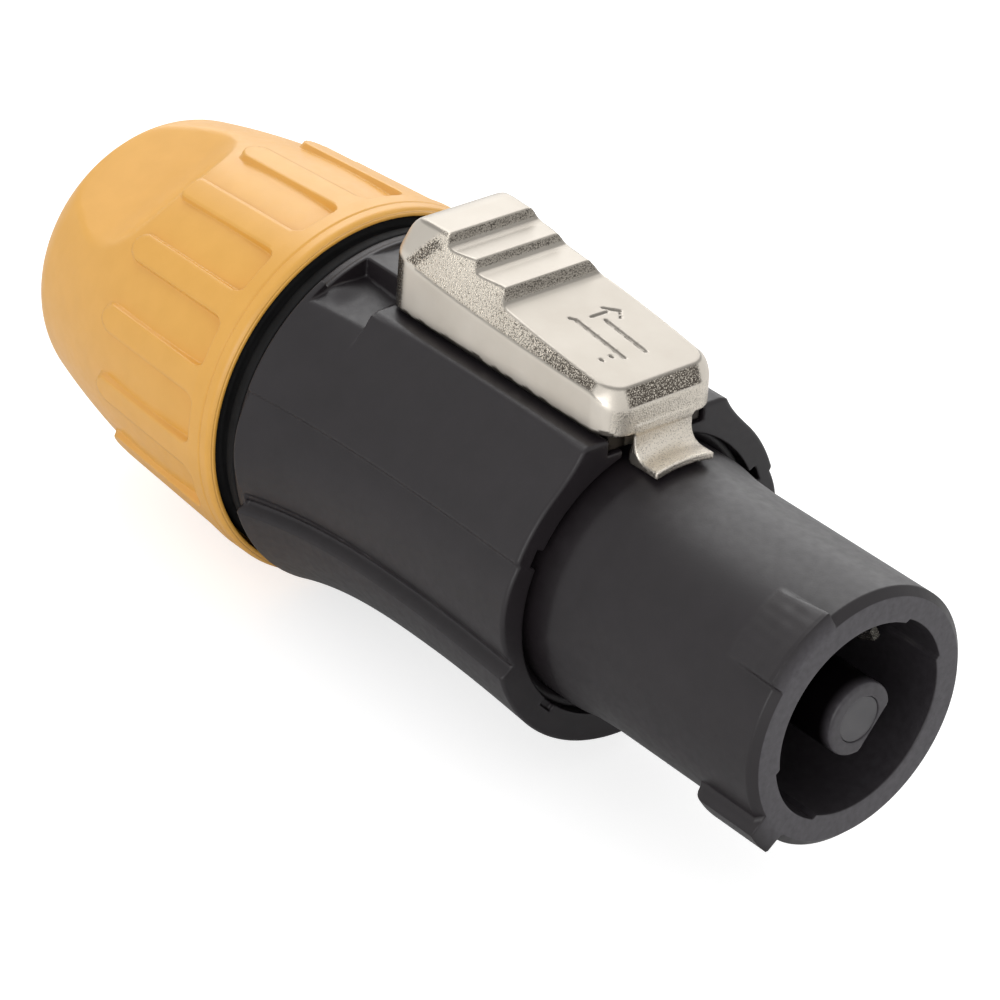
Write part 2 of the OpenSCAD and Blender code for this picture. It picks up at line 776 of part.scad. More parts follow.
housing();
nose();
contact_carrier();
contact(0);  // contact_earth
contact(1);  // contact_line
contact(2);  // contact_neutral
terminal(0);  // terminal_earth
terminal(1);  // terminal_line
terminal(2);  // terminal_neutral
plate(0);  // plate_earth
plate(1);  // plate_line
plate(2);  // plate_neutral
screw(0);  // screw_earth
screw(1);  // screw_line
screw(2);  // screw_neutral
latch();
latch_spring();
latch_pin();
seal_ring();
chuck();
cap();
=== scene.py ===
from functools import reduce

import bpy
import numpy as np
from mathutils import Matrix, Vector


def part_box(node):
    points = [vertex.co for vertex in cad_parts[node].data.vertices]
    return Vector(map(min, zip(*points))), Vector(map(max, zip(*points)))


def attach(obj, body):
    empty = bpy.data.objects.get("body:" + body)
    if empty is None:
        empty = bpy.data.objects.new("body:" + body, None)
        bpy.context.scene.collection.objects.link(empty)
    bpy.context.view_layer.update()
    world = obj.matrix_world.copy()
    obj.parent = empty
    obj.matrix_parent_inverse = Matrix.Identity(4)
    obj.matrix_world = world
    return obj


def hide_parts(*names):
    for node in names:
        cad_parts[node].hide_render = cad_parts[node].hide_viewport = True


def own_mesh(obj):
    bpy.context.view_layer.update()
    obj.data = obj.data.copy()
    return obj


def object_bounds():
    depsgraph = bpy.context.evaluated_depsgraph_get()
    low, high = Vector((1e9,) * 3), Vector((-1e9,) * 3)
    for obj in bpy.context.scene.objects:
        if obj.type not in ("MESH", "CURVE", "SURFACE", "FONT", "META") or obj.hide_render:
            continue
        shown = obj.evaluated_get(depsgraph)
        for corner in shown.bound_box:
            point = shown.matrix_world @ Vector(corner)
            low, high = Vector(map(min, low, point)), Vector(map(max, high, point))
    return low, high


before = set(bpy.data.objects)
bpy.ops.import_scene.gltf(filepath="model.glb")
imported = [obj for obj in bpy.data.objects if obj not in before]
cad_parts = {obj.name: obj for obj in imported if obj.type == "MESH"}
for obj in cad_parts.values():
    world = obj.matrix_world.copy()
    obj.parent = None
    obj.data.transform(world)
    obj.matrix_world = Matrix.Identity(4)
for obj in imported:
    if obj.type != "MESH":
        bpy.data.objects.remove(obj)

# Lengths are in millimetres until a mesh is made, and in the frame's own axes: +X out of the nose,
# +Z up through the latch. A depth is measured back from the nose face, and an angle from the top
# towards -Y, in degrees.
MM = 0.001
cad_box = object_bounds()


def corners(node):
    """Lowest and highest corner of a CAD node, in millimetres."""
    low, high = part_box(node)
    return np.array(low) / MM, np.array(high) / MM


# ---- sizes taken from the frame ----

housing_low, housing_high = corners("housing")
nose_low, _ = corners("nose")
latch_low, latch_high = corners("latch")
cap_low, cap_high = corners("cap")
seal_low, seal_high = corners("seal_ring")
spring_low, spring_high = corners("latch_spring")

FACE_AT = -housing_high[0]          # the housing's front face
SPIGOT_END = -housing_low[0]
COLLAR_AT = SPIGOT_END - 10         # where the threaded spigot leaves the body
NOSE_END = -nose_low[0]
CAP_AT = -cap_high[0]
CAP_END = -cap_low[0]


# ---- radii, stacked outwards from the nose ----

NOSE_R = 10.0
BORE_R = NOSE_R - 2.6
ROOT_R = NOSE_R + 0.4
WELL_R = ROOT_R + 0.85
SPIGOT_R = WELL_R + 1.3
THREAD_R = SPIGOT_R + 0.3
SEAL_R = SPIGOT_R + 1.8
MOUTH_R = SEAL_R + 0.3
CAP_R = THREAD_R + 1.75
SEAT_R = ROOT_R + 0.05
WAIST_R = SEAT_R + 2.37
FLANGE_R = ROOT_R + 0.8             # the nose's rear flange, and the housing's front recess
KEY_FLOOR_R = WELL_R + 0.8          # bottom of the key grooves in the well
KEY_HALF = 1.8
THREAD_PITCH = 2.0
FAR = 99.0                          # stands for no limit


# ---- shaping tools ----

def smooth_max(a, b, r):
    """The larger of two fields, rounded over where they meet."""
    h = np.maximum(r - np.abs(a - b), 0)
    return np.maximum(a, b) + h * h / (4 * r)


def smooth_min(a, b, r):
    """The smaller of two fields, rounded over where they meet."""
    return -smooth_max(-a, -b, r)


def round_max(a, b, r):
    """The part inside both fields, with its edge rounded to radius r."""
    over_a, over_b = np.maximum(a + r, 0), np.maximum(b + r, 0)
    return np.where((a > -r) & (b > -r), np.hypot(over_a, over_b) - r, np.maximum(a, b))


def common(*fields):
    """The part inside every field."""
    return reduce(np.maximum, fields)


def block(x, y, z, low, high, r=0.0):
    """A box with rounded edges, by its corners."""
    middle = (np.array(low) + np.array(high)) / 2
    half = (np.array(high) - np.array(low)) / 2 - r
    q = [np.abs(c - m) - h for c, m, h in zip((x, y, z), middle, half)]
    outside = np.sqrt(sum(np.maximum(c, 0) ** 2 for c in q))
    return outside + np.minimum(common(*q), 0) - r


def ease(t):
    """Goes smoothly from 0 to 1 as t does."""
    t = np.clip(t, 0, 1)
    return t * t * (3 - 2 * t)


def hump(value, middle, width):
    """1 where a value is at the middle, and falling off smoothly on both sides."""
    return np.exp(-((value - middle) / width) ** 2)


def turn(angle, middle):
    """How far an angle lies from another, in degrees, between -180 and 180."""
    return (angle - middle + 180) % 360 - 180


def ripple(x, y, z, size, seed, waves=6):
    """A smooth irregular wave with features of about one size, from -1 to 1."""
    rng = np.random.default_rng(seed)
    total = 0
    for _ in range(waves):
        direction = rng.normal(size=3)
        direction *= 2 * np.pi / size / np.linalg.norm(direction) * rng.uniform(0.6, 1.4)
        start = rng.uniform(0, 6.28)
        total = total + np.sin(x * direction[0] + y * direction[1] + z * direction[2] + start)
    return total / waves


def thread_wave(depth, angle):
    """The thread's height at a place: 0 in its root and 2 on its crest."""
    return 1 + np.cos(2 * np.pi * (depth / THREAD_PITCH - angle / 360))


def grid_line(*stretches):
    """Grid positions from (start, stop, step) stretches laid end to end."""
    parts = []
    for start, stop, step in stretches:
        count = max(1, round(abs(stop - start) / step))
        parts.append(np.linspace(start, stop, count, endpoint=False))
    return np.concatenate(parts + [[stretches[-1][1]]])


def around(count):
    """Angles evenly round the axis."""
    return np.arange(count) * 360 / count


# ---- mesh makers ----

def put(name, data):
    """A new object in the scene."""
    made = bpy.data.objects.new(name, data)
    bpy.context.scene.collection.objects.link(made)
    return made


def write_layers(mesh, layers):
    """Stores numbers for a material to read, which layers works out from each point's x, y and z."""
    points = np.zeros(len(mesh.vertices) * 3)
    mesh.vertices.foreach_get("co", points)
    for name, values in layers(*points.reshape(-1, 3).T / MM).items():
        layer = mesh.attributes.new(name, "FLOAT", "POINT")
        layer.data.foreach_set("value", np.clip(values, 0, 1).astype(np.float32))


def add_mesh(name, points, quads):
    """A mesh object from points in millimetres and an array of four-cornered faces."""
    mesh = bpy.data.meshes.new(name)
    mesh.vertices.add(len(points))
    mesh.vertices.foreach_set("co", (np.asarray(points) * MM).astype(np.float32).ravel())
    mesh.loops.add(quads.size)
    mesh.loops.foreach_set("vertex_index", quads.astype(np.int32).ravel())
    mesh.polygons.add(len(quads))
    mesh.polygons.foreach_set("loop_start", np.arange(0, quads.size, 4, dtype=np.int32))
    mesh.update(calc_edges=True)
    mesh.validate()
    mesh.shade_smooth()
    return put(name, mesh)


def volume(points, quads):
    """Signed volume inside a closed surface of four-cornered faces."""
    p = [points[quads[:, i]] for i in range(4)]
    total = np.einsum("ij,ij->i", p[0], np.cross(p[1], p[2]))
    total += np.einsum("ij,ij->i", p[0], np.cross(p[2], p[3]))
    return total.sum()


def settle(points, field, steps=3, h=0.004, reach=0.12):
    """Moves points on to the field's surface, each step going up to reach along its slope."""
    for _ in range(steps):
        x, y, z = points.T
        value = field(x, y, z)
        slope = np.stack([field(x + h, y, z) - value, field(x, y + h, z) - value,
                          field(x, y, z + h) - value], axis=1) / h
        size = np.maximum((slope ** 2).sum(1), 0.05)
        move = -slope * (value / size)[:, None]
        length = np.linalg.norm(move, axis=1, keepdims=True)
        points = points + move * np.minimum(1, reach / np.maximum(length, 1e-9))
    return points


def net(name, field, axes, round_grid=False):
    """Wraps the surface where field is 0 in a net of four-cornered faces, one point to a grid cell.
    The grid is (x, y, z), or with round_grid (x, angle, radius) with the angle closed on itself."""
    grid = np.meshgrid(*axes, indexing="ij")
    if round_grid:
        turned = np.radians(grid[1])
        grid = [grid[0], -grid[2] * np.sin(turned), grid[2] * np.cos(turned)]
    place = np.stack(grid, axis=-1)
    value = field(*[g.astype(np.float32) for g in grid]).astype(float)
    for axis in (0, 2) if round_grid else (0, 1, 2):
        edge = [slice(None)] * 3
        for end in (0, -1):
            edge[axis] = end
            value[tuple(edge)] = np.maximum(value[tuple(edge)], 0.01)
    shape = np.array(value.shape)
    inside = value < 0
    crossings, cells = [], []
    for axis in range(3):
        across = inside != np.roll(inside, -1, axis)
        if not (round_grid and axis == 1):
            last = [slice(None)] * 3
            last[axis] = -1
            across[tuple(last)] = False
        near = np.argwhere(across)
        far = near.copy()
        far[:, axis] = (far[:, axis] + 1) % shape[axis]
        v0, v1 = value[tuple(near.T)], value[tuple(far.T)]
        t = (v0 / (v0 - v1))[:, None]
        crossings.append(place[tuple(near.T)] * (1 - t) + place[tuple(far.T)] * t)
        ring = []
        for db, dc in ((0, 0), (-1, 0), (-1, -1), (0, -1)):
            cell = near.copy()
            cell[:, (axis + 1) % 3] += db
            cell[:, (axis + 2) % 3] += dc
            cell %= shape
            ring.append(np.ravel_multi_index(tuple(cell.T), tuple(shape)))
        ring = np.stack(ring, axis=1)
        ring[v0 > 0] = ring[v0 > 0][:, ::-1]
        cells.append(ring)
    crossings, cells = np.concatenate(crossings), np.concatenate(cells)
    used, index = np.unique(cells, return_inverse=True)
    index = index.reshape(cells.shape)
    count = np.bincount(index.ravel(), minlength=len(used))
    points = np.stack([np.bincount(index.ravel(), np.repeat(crossings[:, i], 4), len(used)) / count
                       for i in range(3)], axis=1)
    if volume(points, index) < 0:
        index = index[:, ::-1]
    return add_mesh(name, settle(points, field), index)


def outline_rows(outline):
    """Rows of (depth, radius) along a closed outline of (depth, radius, rounding, step) corners.
    The step spaces the rows from that corner to the next."""
    rows = []
    count = len(outline)
    for i, (depth, radius, rounding, step) in enumerate(outline):
        here = np.array([depth, radius], float)
        before = np.array(outline[i - 1][:2], float)
        after = np.array(outline[(i + 1) % count][:2], float)
        into = (here - before) / max(np.linalg.norm(here - before), 1e-9)
        out = (after - here) / max(np.linalg.norm(after - here), 1e-9)
        if rounding:
            for t in (0, 0.33, 0.67, 1):
                a, b = here - into * rounding, here + out * rounding
                rows.append((1 - t) ** 2 * a + 2 * t * (1 - t) * here + t * t * b)
        else:
            rows.append(here)
        next_rounding = outline[(i + 1) % count][2]
        start, stop = rows[-1], after - out * next_rounding
        steps = max(1, round(np.linalg.norm(stop - start) / step))
        rows.extend(start + (stop - start) * k / steps for k in range(1, steps))
    return np.array(rows)


SEARCH = (-4.5, 1.6)                # how far in and out a field may carry a point
HALVINGS = 22


def spun(name, outline, angles, shape=None, field=None, field_rows=None):
    """Turns a closed outline about the axis, with a column of points at each angle. The outline runs
    forward along the outside, in across the front, back along the inside and out again.
    shape(depth, radius, angle) may move the rows' points, and with a field the rows that field_rows
    picks are carried out to its surface."""
    rows = outline_rows(outline)
    along = np.roll(rows, -1, 0) - np.roll(rows, 1, 0)
    along /= np.linalg.norm(along, axis=1, keepdims=True)
    normal = np.stack([along[:, 1], -along[:, 0]], axis=1)
    columns = len(angles)
    depth = np.repeat(rows[:, :1], columns, 1)
    radius = np.repeat(rows[:, 1:], columns, 1)
    angle = np.repeat(np.asarray(angles)[None], len(rows), 0)
    if field:
        picked = field_rows(rows[:, 0], rows[:, 1])
        low, high = (np.full((picked.sum(), columns), end) for end in SEARCH)
        d0, r0, a0 = depth[picked], radius[picked], angle[picked]
        nd, nr = normal[picked][:, :1], normal[picked][:, 1:]
        for _ in range(HALVINGS):
            middle = (low + high) / 2
            within = field(d0 + nd * middle, r0 + nr * middle, a0) < 0
            low, high = np.where(within, middle, low), np.where(within, high, middle)
        depth[picked], radius[picked] = d0 + nd * low, r0 + nr * low
    if shape:
        depth, radius = shape(depth, radius, angle)
    turned = np.radians(angle)
    points = np.stack([-depth, -radius * np.sin(turned), radius * np.cos(turned)], -1).reshape(-1, 3)
    k, j = np.meshgrid(np.arange(len(rows)), np.arange(columns), indexing="ij")
    k1, j1 = (k + 1) % len(rows), (j + 1) % columns
    quads = np.stack([k * columns + j, k * columns + j1, k1 * columns + j1, k1 * columns + j], -1)
    return add_mesh(name, points, quads.reshape(-1, 4))


# ---- materials ----

def feed(socket, value):
    """Sets a node's socket to a number or a colour, or links another node's output to it."""
    if isinstance(value, tuple):
        socket.default_value = (*value, 1)
    elif isinstance(value, (int, float)):
        socket.default_value = value
    else:
        socket.id_data.links.new(value, socket)


def math_node(tree, kind, a, b):
    """One kind of sum, of two numbers or node outputs."""
    made = tree.nodes.new("ShaderNodeMath")
    made.operation = kind
    feed(made.inputs[0], a)
    feed(made.inputs[1], b)
    return made.outputs["Value"]


class Shader:
    """A node-based material, built up one node at a time."""

    def __init__(self, name, roughness, metallic=0.0):
        self.material = bpy.data.materials.new(name)
        self.material.use_nodes = True
        self.tree = self.material.node_tree
        self.surface = self.tree.nodes["Principled BSDF"]
        feed(self.surface.inputs["Roughness"], roughness)
        feed(self.surface.inputs["Metallic"], metallic)
        self.place = self.node("ShaderNodeTexCoord").outputs["Object"]

    def node(self, kind, **settings):
        made = self.tree.nodes.new(kind)
        for key, value in settings.items():
            setattr(made, key, value)
        return made

    def noise(self, size, detail=3.0, stretch=None, roughness=0.5):
        """A noise with features of about size millimetres."""
        texture = self.node("ShaderNodeTexNoise")
        feed(texture.inputs["Scale"], 1 / (size * MM))
        feed(texture.inputs["Detail"], detail)
        feed(texture.inputs["Roughness"], roughness)
        place = self.place
        if stretch:
            mapping = self.node("ShaderNodeMapping")
            mapping.inputs["Scale"].default_value = stretch
            feed(mapping.inputs["Vector"], place)
            place = mapping.outputs["Vector"]
        feed(texture.inputs["Vector"], place)
        return texture.outputs["Fac"]

    def remap(self, value, low, high, to_low=0.0, to_high=1.0):
        """Stretches the span from low to high over the one from to_low to to_high."""
        made = self.node("ShaderNodeMapRange")
        for name, number in (("Value", value), ("From Min", low), ("From Max", high),
                             ("To Min", to_low), ("To Max", to_high)):
            feed(made.inputs[name], number)
        return made.outputs["Result"]

    def blend(self, share, a, b):
        """A colour between a and b; each is a colour or another node's output."""
        made = self.node("ShaderNodeMix", data_type="RGBA")
        feed(made.inputs["Factor"], share)
        feed(made.inputs[6], a)
        feed(made.inputs[7], b)
        return made.outputs[2]

    def attribute(self, name):
        return self.node("ShaderNodeAttribute", attribute_name=name).outputs["Fac"]

    def bump(self, height, distance, strength, after=None):
        """A bump whose full height is distance millimetres, on top of an earlier one."""
        made = self.node("ShaderNodeBump")
        feed(made.inputs["Distance"], distance * MM)
        feed(made.inputs["Strength"], strength)
        feed(made.inputs["Height"], height)
        if after:
            feed(made.inputs["Normal"], after)
        return made.outputs["Normal"]

    def finish(self, colour, roughness, normal):
        feed(self.surface.inputs["Base Color"], colour)
        feed(self.surface.inputs["Roughness"], roughness)
        feed(self.surface.inputs["Normal"], normal)
        return self.material


# painted shade: the near-black that the inside of the nose is painted, on the post and in the bore
INSIDE_PAINTED_SHADING = (0.0015, 0.0010, 0.0012)


def moulded_plastic(name, dark, light, rough_low, rough_high, grain=0.16, depth=0.006, shine=0.5,
                    worn=None):
    """A satin moulding: fine spark grain, faint mottling and a slightly uneven gloss. Given a pale colour,
    the skin takes painted light, paler where its attribute says, and painted shade, darker and dull
    where the attribute for the inside says."""
    s = Shader(name, (rough_low + rough_high) / 2)
    feed(s.surface.inputs["Specular IOR Level"], shine)
    mottle = s.remap(s.noise(2.2, detail=4), 0.35, 0.65)
    sheen = s.remap(s.noise(0.7, detail=3), 0.3, 0.7, rough_low, rough_high)
    flow = s.noise(6, detail=2)
    fine = s.noise(grain, detail=2, roughness=0.6)
    normal = s.bump(flow, 0.03, 0.35)
    normal = s.bump(fine, depth, 0.8, normal)
    colour = s.blend(mottle, dark, light)
    if worn:
        streak = s.remap(s.noise(0.5, detail=3), 0.3, 0.7, 0.6, 1.0)
        # painted light: a paler skin, broken by streaks, where the attribute says
        colour = s.blend(math_node(s.tree, "MULTIPLY", s.attribute("worn"), streak), colour, worn)
        # painted shade: the inside painted darker and its gloss taken away
        inner = s.attribute("inner")
        colour = s.blend(inner, colour, INSIDE_PAINTED_SHADING)
        feed(s.surface.inputs["Specular IOR Level"], s.remap(inner, 0, 1, shine, 0.0))
    return s.finish(colour, sheen, normal)


def nickel_casting(name):
    """Satin nickel plate on a casting: smooth faces, a sparkling grain where the rough attribute
    says, with pits as dark as the dark one says, that darkness partly painted reflection. The last
    attribute paints shade over the flats, into the hollows and under the latch."""
    s = Shader(name, 0.3, metallic=1.0)
    rough, dark, shade = (s.attribute(key) for key in ("rough", "dark", "shade"))
    coarse = s.noise(0.11, detail=2)
    threshold = s.remap(dark, 0, 1, 0.70, 0.42)
    pits = s.remap(math_node(s.tree, "SUBTRACT", coarse, threshold), -0.12, 0.10)
    fine = s.noise(0.09, detail=2)
    cast = s.bump(coarse, 0.10, rough)
    normal = s.bump(fine, 0.003, 0.5, cast)
    mottle = s.remap(s.noise(3.0, detail=3), 0.3, 0.7)
    clean = s.blend(mottle, (0.74, 0.683, 0.600), (0.80, 0.743, 0.660))
    # pits of the cast grain, their darkness partly painted reflection of darker surroundings
    speckled = s.blend(pits, (0.82, 0.752, 0.648), (0.09, 0.076, 0.061))
    colour = s.blend(rough, clean, speckled)
    # painted shade over the flats, into the hollows and under the latch
    colour = s.blend(shade, colour, (0.04, 0.034, 0.030))
    return s.finish(colour, s.remap(rough, 0, 1, 0.38, 0.24), normal)


def plain_metal(name, dark, light, roughness, drawn=0.3):
    """Bright drawn metal: faint lengthwise lines and an uneven tone."""
    s = Shader(name, roughness, metallic=1.0)
    lines = s.noise(drawn, detail=3, stretch=(0.15, 1, 1))
    tone = s.remap(s.noise(1.2, detail=3), 0.3, 0.7)
    sheen = s.remap(lines, 0.3, 0.7, roughness - 0.06, roughness + 0.08)
    return s.finish(s.blend(tone, dark, light), sheen, s.bump(lines, 0.006, 0.5))


DARK, LIGHT = (0.0115, 0.0088, 0.0105), (0.0140, 0.0108, 0.0128)
charcoal = moulded_plastic("charcoal_plastic", DARK, LIGHT, 0.38, 0.46, shine=0.46)
# the nose's plastic, with the paler colour of its painted light on the front face and in the bore
nose_charcoal = moulded_plastic("nose_plastic", DARK, LIGHT, 0.38, 0.46, shine=0.46,
                                worn=(0.072, 0.067, 0.075))
carrier_grey = moulded_plastic("carrier_plastic", (0.06, 0.058, 0.062), (0.075, 0.072, 0.076), 0.42, 0.5)
chuck_black = moulded_plastic("chuck_plastic", (0.018, 0.018, 0.019), (0.023, 0.023, 0.024), 0.45, 0.55)
rubber = moulded_plastic("seal_rubber", (0.005, 0.005, 0.0053), (0.008, 0.008, 0.0084), 0.6, 0.72,
                         grain=0.3, depth=0.012, shine=0.2)
amber = moulded_plastic("amber_plastic", (0.715, 0.362, 0.055), (0.745, 0.382, 0.063), 0.36, 0.42,
                        shine=0.7)
nickel = nickel_casting("nickel_casting")
brass = plain_metal("terminal_brass", (0.62, 0.46, 0.2), (0.74, 0.57, 0.28), 0.32)
plated = plain_metal("contact_plating", (0.72, 0.68, 0.58), (0.82, 0.79, 0.7), 0.22)
steel = plain_metal("zinc_steel", (0.55, 0.56, 0.58), (0.68, 0.69, 0.71), 0.3)
spring_wire = plain_metal("spring_steel", (0.5, 0.51, 0.53), (0.62, 0.63, 0.65), 0.25)


def dress(piece, body, material):
    """Gives a piece its material and body."""
    piece.data.materials.clear()
    piece.data.materials.append(material)
    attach(piece, body)
    return piece


# ---- camera ----

# The camera's own axes: right, up, and back from the object.
camera_back = Vector((0.63241, -0.58093, 0.51243)).normalized()
camera_up = Vector((-0.43121, 0.28554, 0.85588))
camera_right = camera_up.cross(camera_back).normalized()
camera_up = camera_back.cross(camera_right)
camera_place = Vector((164.352, -185.898, 162.370)) * MM
camera_data = bpy.data.cameras.new("camera")
camera_data.sensor_width = 36
camera_data.lens = 155.5
camera_data.clip_start = 0.01
camera = put("camera", camera_data)
turned = Matrix((camera_right, camera_up, camera_back)).transposed()
camera.matrix_world = Matrix.Translation(camera_place) @ turned.to_4x4()
bpy.context.scene.camera = camera


# ---- cap ----

CAP_TOP = cap_high[1]
FINGERS = 15
FINGER_PHASE = 26
FINGER_HALF = 1.18
FINGER_TIP = CAP_AT + 15.7
EDGE_RUN = 0.22                     # width of a finger's side wall, seen from outside
EDGE_START = 0.08                   # where that wall starts, outside the finger's plan
RIM_END = CAP_AT + 2.7
REAR_ROUND = 4.7
REAR_ANGLE = 15
SCOOP_R = 11.0
SCOOP_FLAT = CAP_END - 6.9
SCOOP_RUNOUT = 9.3
LINE_AT = CAP_AT + 1.25             # the fine parting line on the front rim
LINE_HALF = 0.12
LINE_DEPTH = 0.12
CORD_R = 6.3                        # radius of the cable opening


def cap_bulge(depth):
    """Radius of the cap between its fingers."""
    t = depth - CAP_AT - 3.4
    return CAP_R + 0.0241 * t - 0.00625 * t * t


# the arc round the rear end: where it starts, and its centre
round_from = CAP_END - REAR_ROUND * (1 - np.sin(np.radians(REAR_ANGLE)))
ROUND_D = CAP_END - REAR_ROUND
ROUND_R = cap_bulge(round_from) - REAR_ROUND * np.cos(np.radians(REAR_ANGLE))


def cap_outside(depth, radius, angle):
    """Outer surface of the cap: bulge, rear arc, front rim, fingers and wrench scoops."""
    pitch = 360 / FINGERS
    off_finger = (turn(angle, FINGER_PHASE) + pitch / 2) % pitch - pitch / 2
    arc = np.radians(off_finger) * CAP_R
    tip = FINGER_TIP - FINGER_HALF
    finger = np.where(depth < tip, np.abs(arc), np.hypot(arc, depth - tip)) - FINGER_HALF
    plan = smooth_min(finger, depth - RIM_END, 1.1)
    height = CAP_TOP + 0.05 - 0.06 * np.maximum(depth - RIM_END, 0) - cap_bulge(depth)
    raised = ease((EDGE_START - plan) / EDGE_RUN) * np.maximum(height, 0)
    line = np.maximum(0, 1 - np.abs(depth - LINE_AT) / LINE_HALF)
    side = radius - cap_bulge(depth) - raised + LINE_DEPTH * line
    rear = np.hypot(np.maximum(radius - ROUND_R, 0), depth - ROUND_D) - REAR_ROUND
    past_arc = (depth - ROUND_D) > (radius - ROUND_R) * np.tan(np.radians(REAR_ANGLE))
    solid = np.where(past_arc, rear, side)
    solid = round_max(solid, CAP_AT - depth, 0.6)
    ahead = np.clip(SCOOP_FLAT - depth, 0, SCOOP_RUNOUT)
    floor = SCOOP_R + SCOOP_RUNOUT - np.sqrt(SCOOP_RUNOUT ** 2 - ahead ** 2)
    for middle in (FINGER_PHASE, FINGER_PHASE + 180):
        facing = radius * np.cos(np.radians(turn(angle, middle)))
        solid = smooth_max(solid, facing - floor, 0.2)
    return solid


def finger_columns():
    """Angles round the cap, close together along the fingers' edges."""
    edge = np.degrees((FINGER_HALF - EDGE_START + EDGE_RUN / 2) / CAP_R)
    near = np.degrees(0.17 / CAP_R)
    half_pitch = 180 / FINGERS
    side = np.concatenate([np.linspace(0, edge - near, 4, endpoint=False),
                           np.linspace(edge - near, edge + near, 8, endpoint=False),
                           np.linspace(edge + near, half_pitch, 6, endpoint=False)])
    pitch = np.concatenate([side, [half_pitch], -side[:0:-1] + 2 * half_pitch])
    return np.concatenate([FINGER_PHASE + 2 * half_pitch * k + pitch for k in range(FINGERS)])


def make_cap():
    thread_from, thread_to = CAP_AT + 2.3, SPIGOT_END + 4.4
    shoulder = CAP_END - 2.6

    def thread(depth, radius, angle):
        turns = (np.abs(radius - THREAD_R) < 0.01) & (depth > thread_from + 0.4) & (depth < thread_to - 0.4)
        return depth, radius + np.where(turns, 0.15 * thread_wave(depth, angle), 0)

    arc = [(ROUND_D + REAR_ROUND * np.sin(a), ROUND_R + REAR_ROUND * np.cos(a), 0, 0.3)
           for a in np.radians(np.arange(84, REAR_ANGLE, -4))]
    bulge = [(d, cap_bulge(d) + 0.45 * ease((CAP_AT + 7 - d) / 5), 0, 0.14 if d > CAP_AT + 14 else 0.5)
             for d in np.arange(round_from, CAP_AT + 3.6, -0.9)]
    outline = [(CAP_END, CORD_R, 0.2, 0.25), *arc, *bulge,
               (CAP_AT + 3.6, CAP_R + 0.4, 0, 0.08), (CAP_AT, CAP_R + 0.45, 0, 0.12),
               (CAP_AT, MOUTH_R, 0.1, 0.5), (thread_from, MOUTH_R, 0, 0.5),
               (thread_from, THREAD_R, 0, 0.25), (thread_to, THREAD_R, 0, 0.5),
               (thread_to, THREAD_R - 0.3, 0, 2.5), (shoulder, CORD_R + 0.9, 0, 0.4),
               (shoulder, CORD_R, 0, 0.6)]
    piece = spun("screw_cap", outline, finger_columns(), shape=thread, field=cap_outside,
                 field_rows=lambda d, r: (r > CAP_R + 0.3) & (d < CAP_AT + 4)
                 | (r > cap_bulge(d) - 0.02) & (d > CAP_AT + 3) | (d > ROUND_D) & (r > CORD_R + 1))
    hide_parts("cap")
    return dress(piece, "cap", amber)


# ---- nose ----

LUG_TOP = NOSE_R + 1.1
# bayonet lugs: angles from and to, depth of the rear end, and whether its top is level
LUGS = ((22.5, 56.5, 5.3, False), (121.5, 137.5, 5.9, True))
KEYWAYS = ((-72, -28), (101, 155))
KEYWAY_END = 14
KEYWAY_DEPTH = 0.35
BORE_END = 16
POST_R = 2.85
POST_HOLE_R = 1.8
POST_FLAT = 1.85
POST_FLAT_ANGLE = 233


def nose_shape(depth, radius, angle):
    """Raises the bayonet lugs and cuts the keyways and the post's flat."""
    out = radius.copy()
    skin = (radius > NOSE_R - 0.7) & (depth < 8)
    for start, stop, end, level in LUGS:
        middle, half = (start + stop) / 2, (stop - start) / 2
        side = half - np.abs(turn(angle, middle))
        across = ease((np.radians(side) * NOSE_R + 0.12) / 0.3)
        if level:
            rise = np.sqrt(np.clip(1 - (np.maximum(depth - end + 0.7, 0) / 0.75) ** 2, 0, 1))
            wear = 0
        else:
            rise = np.clip((end - depth) / (end - 0.4), 0, 1)
            wear = 0.03 * ripple(depth, angle * 0.17, radius, 1.1, 4)
        top = NOSE_R + (LUG_TOP - NOSE_R) * rise + wear
        lifted = radius + np.maximum(top - radius, 0) * across * (rise > 0)
        out = np.where(skin & (depth > 0.02), np.maximum(out, lifted), out)
    bore = (radius > BORE_R - 0.2) & (radius < BORE_R + 1.1) & (depth < BORE_END - 1)
    for start, stop in KEYWAYS:
        side = (stop - start) / 2 - np.abs(turn(angle, (start + stop) / 2))
        across = ease((np.radians(side) * BORE_R + 0.1) / 0.2) * ease((KEYWAY_END - depth) / 0.3)
        fade = np.clip((BORE_R + 1.1 - radius) / 0.9, 0, 1)
        out = np.where(bore, out + KEYWAY_DEPTH * across * fade, out)
    facing = np.cos(np.radians(turn(angle, POST_FLAT_ANGLE)))
    post = (radius < POST_R + 0.05) & (radius > POST_HOLE_R) & (depth < BORE_END - 0.5)
    limit = np.where(facing > 0.3, POST_FLAT / np.maximum(facing, 0.3), FAR)
    out = np.where(post, np.maximum(np.minimum(out, limit), POST_HOLE_R + 0.02), out)
    return depth, out


def nose_layers(x, y, z):
    """Where the nose's skin is painted paler, as painted light, on its front face and in its bore,
    and where it is painted dark, as painted shade, on its post and in its bore.
    """
    radius = np.hypot(y, z)
    bore = (x < -0.1) & (radius < BORE_R + 0.45) & (radius > POST_R + 0.2)
    post = (x < -0.32) & (radius < POST_R + 0.1)
    post_face = (x > -0.3) & (radius < POST_R + 0.1)
    front = (x > -0.03) & (radius > BORE_R - 0.1) | post_face
    return {"worn": front * 1.0 - post_face * 0.35 + bore * 0.45, "inner": post * 0.95 + bore * 0.25}


